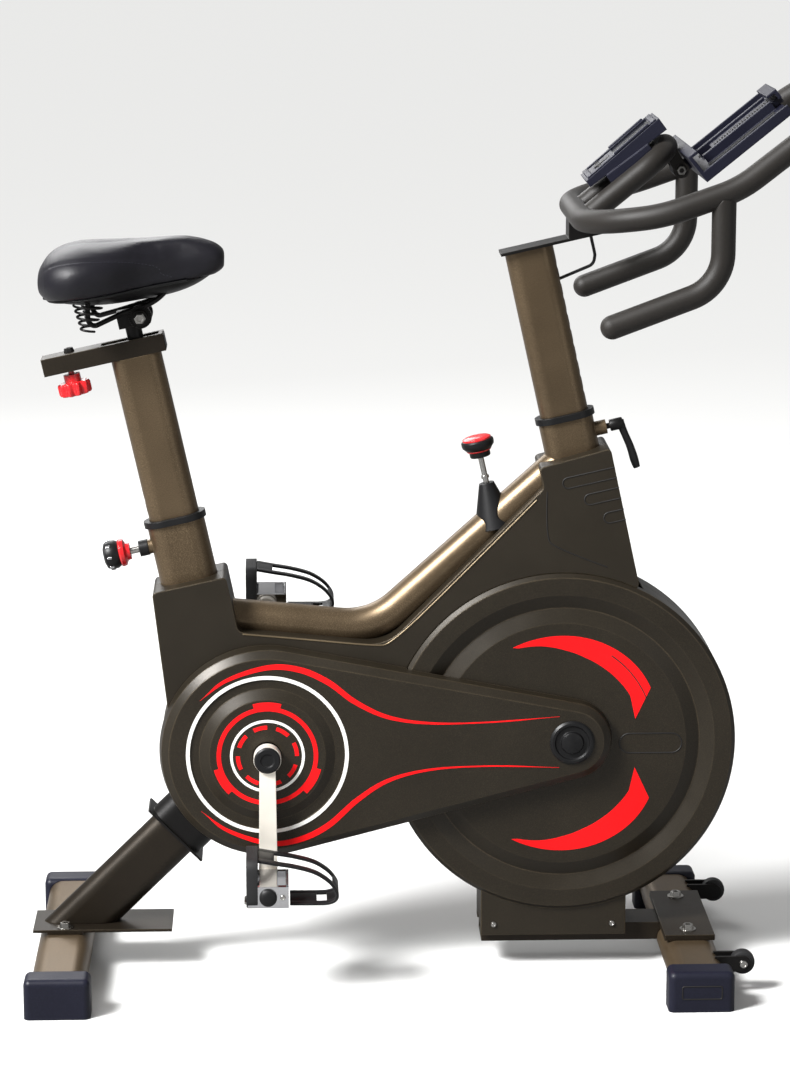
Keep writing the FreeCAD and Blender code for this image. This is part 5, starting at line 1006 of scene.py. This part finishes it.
for word, side in (("Right", -1), ("Left", 1)):
    line = []
    for step in range(10, 93):
        share = step / 100
        start = Vector((tailX + share * saddle["length"],
                        side * (saddle["seam"] * halfAt(share) + 0.0036), floorLevel + 0.2))
        hit = reach.ray_cast(start, Vector((0, 0, -1)))  # whether it hit, then where
        if hit[0]:
            line.append(hit[1] + Vector((0, 0, 0.0002)))
    blockRow("saddleStitches" + word, line, 0.0052, (0.0034, 0.0011, 0.0008), "saddle", "cushion_vinyl",
             threadDark, 0.0)
rim = []
for side in (-1, 1):
    shares = [0.03 + 0.77 * step / 40 for step in range(41)]
    for share in (shares if side < 0 else shares[::-1]):
        x = tailX + share * saddle["length"]
        near = min(levels, key=lambda level: abs(level[0] - share))
        middle, tall = floorLevel + (near[2] + near[3]) / 2000, (near[3] - near[2]) / 2000
        off = min(1, abs(panLevel(x) - middle) / tall)
        half = halfAt(share) * (1 - off ** saddle["square"]) ** (1 / saddle["square"])
        rim.append(Vector((x, side * max(half * 0.985, 0.004), panLevel(x))))
place("saddleRim", tube(rim, 0.0017, closed=True), blackPlastic, "saddle", "black_plastic")
print("saddle ready")

# resistance knob and head lever

rod = jointPlace["resistance_turn"]
body = lathe([(0, 0.038), (0.0135, 0.038), (0.0145, 0.0395), (0.0145, 0.0455), (0.0172, 0.048),
              (0.0222, 0.0535), (0.0228, 0.057), (0.0226, 0.0605), (0.0208, 0.0625), (0, 0.0625)], headUp,
             rod)
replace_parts(place("pressKnob", body, blackPlastic, "resistance_knob", "black_plastic"), "resistance_knob")
top = lathe([(0, 0.0625), (0.0202, 0.0625), (0.0198, 0.0648), (0.0165, 0.0665), (0.009, 0.0677),
             (0, 0.068)], headUp, rod)
place("pressKnobTop", top, redPlastic, "resistance_knob", "red_plastic")
place("pressKnobRing", lathe([(0.0145, 0.0455), (0.0166, 0.0462), (0.0176, 0.0478), (0.0165, 0.0484)],
                             headUp, rod), redPlastic, "resistance_knob", "red_plastic")

lever = jointPlace["head_lever_turn"]
hub = joinMeshes(lathe([(0, 0.0003), (0.004, 0.0003), (0.004, 0.026), (0, 0.026)], acrossHead, lever),
                 lathe([(0, 0.0245), (0.0075, 0.0245), (0.0082, 0.0258), (0.0082, 0.0415),
                        (0.0072, 0.0428), (0, 0.0428)], acrossHead, lever))
place("leverHub", hub, blackPaint, "head_lever", "black_plastic")
leverTurn = math.radians(21)
swing = Vector((math.sin(leverTurn), 0, -math.cos(leverTurn)))
armStart = lever + acrossHead * 0.0395
armPoints = [armStart - swing * 0.004, armStart + swing * 0.010,
             armStart + swing * 0.036 + acrossHead * 0.0018, armStart + swing * 0.058,
             armStart + swing * 0.0665]
armPiece = place("leverArm", tube(armPoints, 0.0066, taper=[0.9, 0.75, 0.8, 0.95, 0.7]), blackPlastic,
                 "head_lever", "black_plastic")
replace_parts(armPiece, "head_lever")
sleeve = {"inner": 0.0101, "outer": 0.0112, "length": 0.013}
for name, centre, axis in (("pinSleeve", pinEnd + acrossSeat * (pull["length"] - 0.0222), acrossSeat),
                           ("leverSleeve", lever + acrossHead * 0.0002, -acrossHead)):
    place(name, ringBand(sleeve["inner"], sleeve["outer"], sleeve["length"], axis, centre, 48),
          blackPlastic, "frame", "black_plastic")
print("controls ready")

# display and tablet tray

panelUp = -jointAxis["console_button_press"]
panelAlong = Vector((panelUp.z, 0, -panelUp.x))
panelFoot = at(441, 0, 1100)


def onPanel(along, side, out):
    return panelFoot + panelAlong * along / 1000 + panelUp * out / 1000 + Vector((0, side / 1000, 0))


def wedgeTop(along, side, out):  # follows the display's tapering top face
    return onPanel(along, side, out + 10 + 9 * along / 128)


bezel = joinMeshes(block((4, -40, 0), (8, 80, 2.2), wedgeTop),
                   block((116, -40, 0), (8, 80, 2.2), wedgeTop),
                   block((12, -40, 0), (104, 6, 2.2), wedgeTop),
                   block((12, 34, 0), (104, 6, 2.2), wedgeTop))
place("displayBezel", bevelled(bezel, 0.0008), navyPlastic, "handlebar", "navy_plastic")
place("displayScreen", bevelled(block((52, -33.5, 0), (63, 67, 0.8), wedgeTop), 0.0003), screenGlass,
      "handlebar", "navy_plastic")
sideRidges = joinMeshes(block((52, -42, 0.2), (60, 5, 4.4), wedgeTop),
                        block((52, 37, 0.2), (60, 5, 4.4), wedgeTop))
place("displayRidges", bevelled(sideRidges, 0.0012), navyPlastic, "handlebar", "navy_plastic")
spots = [wedgeTop(27, side, 0.2) for side in (-24, -14, 14, 24)]
screwSet("displayKeys", spots, panelUp, "handlebar", "black_plastic", blackPlastic, 0.0034, 0.0012, 24)

trayAlong = jointAxis["tablet_clamp_slide"]
trayUp = Vector((-trayAlong.z, 0, trayAlong.x))
trayFoot = jointPlace["tablet_tilt"] + trayAlong * 0.014 - trayUp * 0.020


def onTray(along, side, out):
    return trayFoot + trayAlong * along / 1000 + trayUp * out / 1000 + Vector((0, side / 1000, 0))


blockRow("clampRack", [onTray(44, 0, 16), onTray(134, 0, 16)], 0.0042, (0.0022, 0.016, 0.0024),
         "tablet_clamp", "navy_plastic", blackPlastic, 0.7)
strips = [bevelled(block((18, side, -0.6), (110, 3, 1.0), onTray), 0.0004) for side in (-115, 112)]
place("trayStrips", joinMeshes(*strips), steel, "tablet_tray", "steel")
pads = [bevelled(block((18, side, 5.6), (112, 14, 1.6), onTray), 0.0006) for side in (-62, 48)]
place("trayPads", joinMeshes(*pads), beltRubber, "tablet_tray", "belt_rubber")
for side in (-104, 104):
    blockRow("trayGrip" + ("Right" if side < 0 else "Left"),
             [onTray(20, side, 6.2), onTray(128, side, 6.2)], 0.006, (0.0024, 0.010, 0.0014),
             "tablet_tray", "navy_plastic", navyPlastic, 0.8)
tilting = jointPlace["tablet_tilt"]
for word, side in (("Right", -1), ("Left", 1)):
    screwSet("tiltNut" + word, [tilting + Vector((0, side * 0.0265, 0))], Vector((0, side, 0)),
             "handlebar", "steel", steel, 0.0075, 0.0045, 6)
print("display ready")

# base fittings

base = {"front": (587.5, 61.1), "frontHalf": 74, "rear": (-286, 60), "rearHalf": 33}
seats = [at(base["front"][0], side * base["frontHalf"], base["front"][1]) for side in (-1, 1)]
seats += [at(base["rear"][0], side * base["rearHalf"], base["rear"][1]) for side in (-1, 1)]
heads = screwSet("baseBolts", seats, Vector((0, 0, 1)), "frame", "steel", steel, 0.0088, 0.0075, 6)
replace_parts(heads, "mount_bolts")
washers = [lathe([(0.0045, 0), (0.0115, 0), (0.0115, 0.0014), (0.0045, 0.0014)], Vector((0, 0, 1)), seat,
                 40) for seat in seats]
place("baseWashers", joinMeshes(*washers), steel, "frame", "steel")
for word, side in (("Right", -1), ("Left", 1)):
    roll = jointPlace["transport_wheel_" + word.lower() + "_roll"]
    tyre = lathe([(0.0041, -0.0078), (0.0145, -0.0078), (0.0162, -0.0066), (0.0168, -0.003), (0.0158, 0),
                  (0.0168, 0.003), (0.0162, 0.0066), (0.0145, 0.0078), (0.0041, 0.0078)], left, roll, 48)
    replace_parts(place("rollingWheel" + word, tyre, beltRubber, "transport_wheel_" + word.lower(),
                      "black_plastic"), "transport_wheel_" + word.lower())
    screwSet("wheelPinHead" + word, [roll + Vector((0, side * 0.0125, 0))], Vector((0, side, 0)), "frame",
             "steel", steel, 0.0062, 0.003)
print("base ready")

# floor, light and camera

studio = {"floor": (0.8, 0.8, 0.79), "bounce": 0.3, "sky": 0.3, "sun": 3.2, "sunTurn": (38, -26, -30),
          "spread": 14}
floorMesh = bpy.data.meshes.new("floor")
floorMesh.from_pydata([(-60, -60, 0), (60, -60, 0), (60, 90, 0), (-60, 90, 0)], [], [(0, 1, 2, 3)])
floorPiece = bpy.data.objects.new("studioFloor", floorMesh)
bpy.context.scene.collection.objects.link(floorPiece)
floorPaint = bpy.data.materials.new("floorPaint")
floorPaint.use_nodes = True
seen = addNode(floorPaint.node_tree, "ShaderNodeLightPath")
tone = addNode(floorPaint.node_tree, "ShaderNodeMix", [("Factor", seen.outputs["Is Camera Ray"]),
                                                       ("A", (*[studio["bounce"]] * 3, 1)),
                                                       ("B", (*studio["floor"], 1))], data_type="RGBA")
floorShader = floorPaint.node_tree.nodes["Principled BSDF"]
floorPaint.node_tree.links.new(tone.outputs["Result"], floorShader.inputs["Base Color"])
floorShader.inputs["Roughness"].default_value = 0.9
floorShader.inputs["Specular IOR Level"].default_value = 0.0
floorMesh.materials.append(floorPaint)
world = bpy.data.worlds.new("studio")
bpy.context.scene.world = world
world.use_nodes = True
world.node_tree.nodes["Background"].inputs["Color"].default_value = (1, 1, 1, 1)
world.node_tree.nodes["Background"].inputs["Strength"].default_value = studio["sky"]
sun = bpy.data.lights.new("sun", "SUN")
sun.energy = studio["sun"]
sun.angle = math.radians(studio["spread"])
sunLamp = bpy.data.objects.new("sun", sun)
bpy.context.scene.collection.objects.link(sunLamp)
sunLamp.rotation_euler = [math.radians(turn) for turn in studio["sunTurn"]]
lamps = {"key": ((-2.6, -1.9, 2.9), 1.3, 230), "fill": ((2.6, -3.4, 1.4), 2.0, 10),
         "back": ((-1.2, 3.0, 2.6), 2.0, 60)}
for name, (spot, size, watts) in lamps.items():
    light = bpy.data.lights.new(name, "AREA")
    light.size = size
    light.energy = watts
    lamp = bpy.data.objects.new(name, light)
    bpy.context.scene.collection.objects.link(lamp)
    lamp.location = spot
    lamp.rotation_euler = (Vector((0, 0, 0.6)) - Vector(spot)).to_track_quat("-Z", "Y").to_euler()
view = {"lens": 112.7, "spot": (19.8, -4541.9, 1578.4), "down": 11.9826, "turn": -2.0068}
lens = bpy.data.cameras.new("camera")
lens.lens = view["lens"]
lens.sensor_width = 36
camera = bpy.data.objects.new("camera", lens)
bpy.context.scene.collection.objects.link(camera)
camera.location = at(*view["spot"])
camera.rotation_euler = (math.radians(90 - view["down"]), 0, math.radians(view["turn"]))
bpy.context.scene.camera = camera
bpy.context.scene.view_settings.view_transform = "Standard"
print("studio ready")
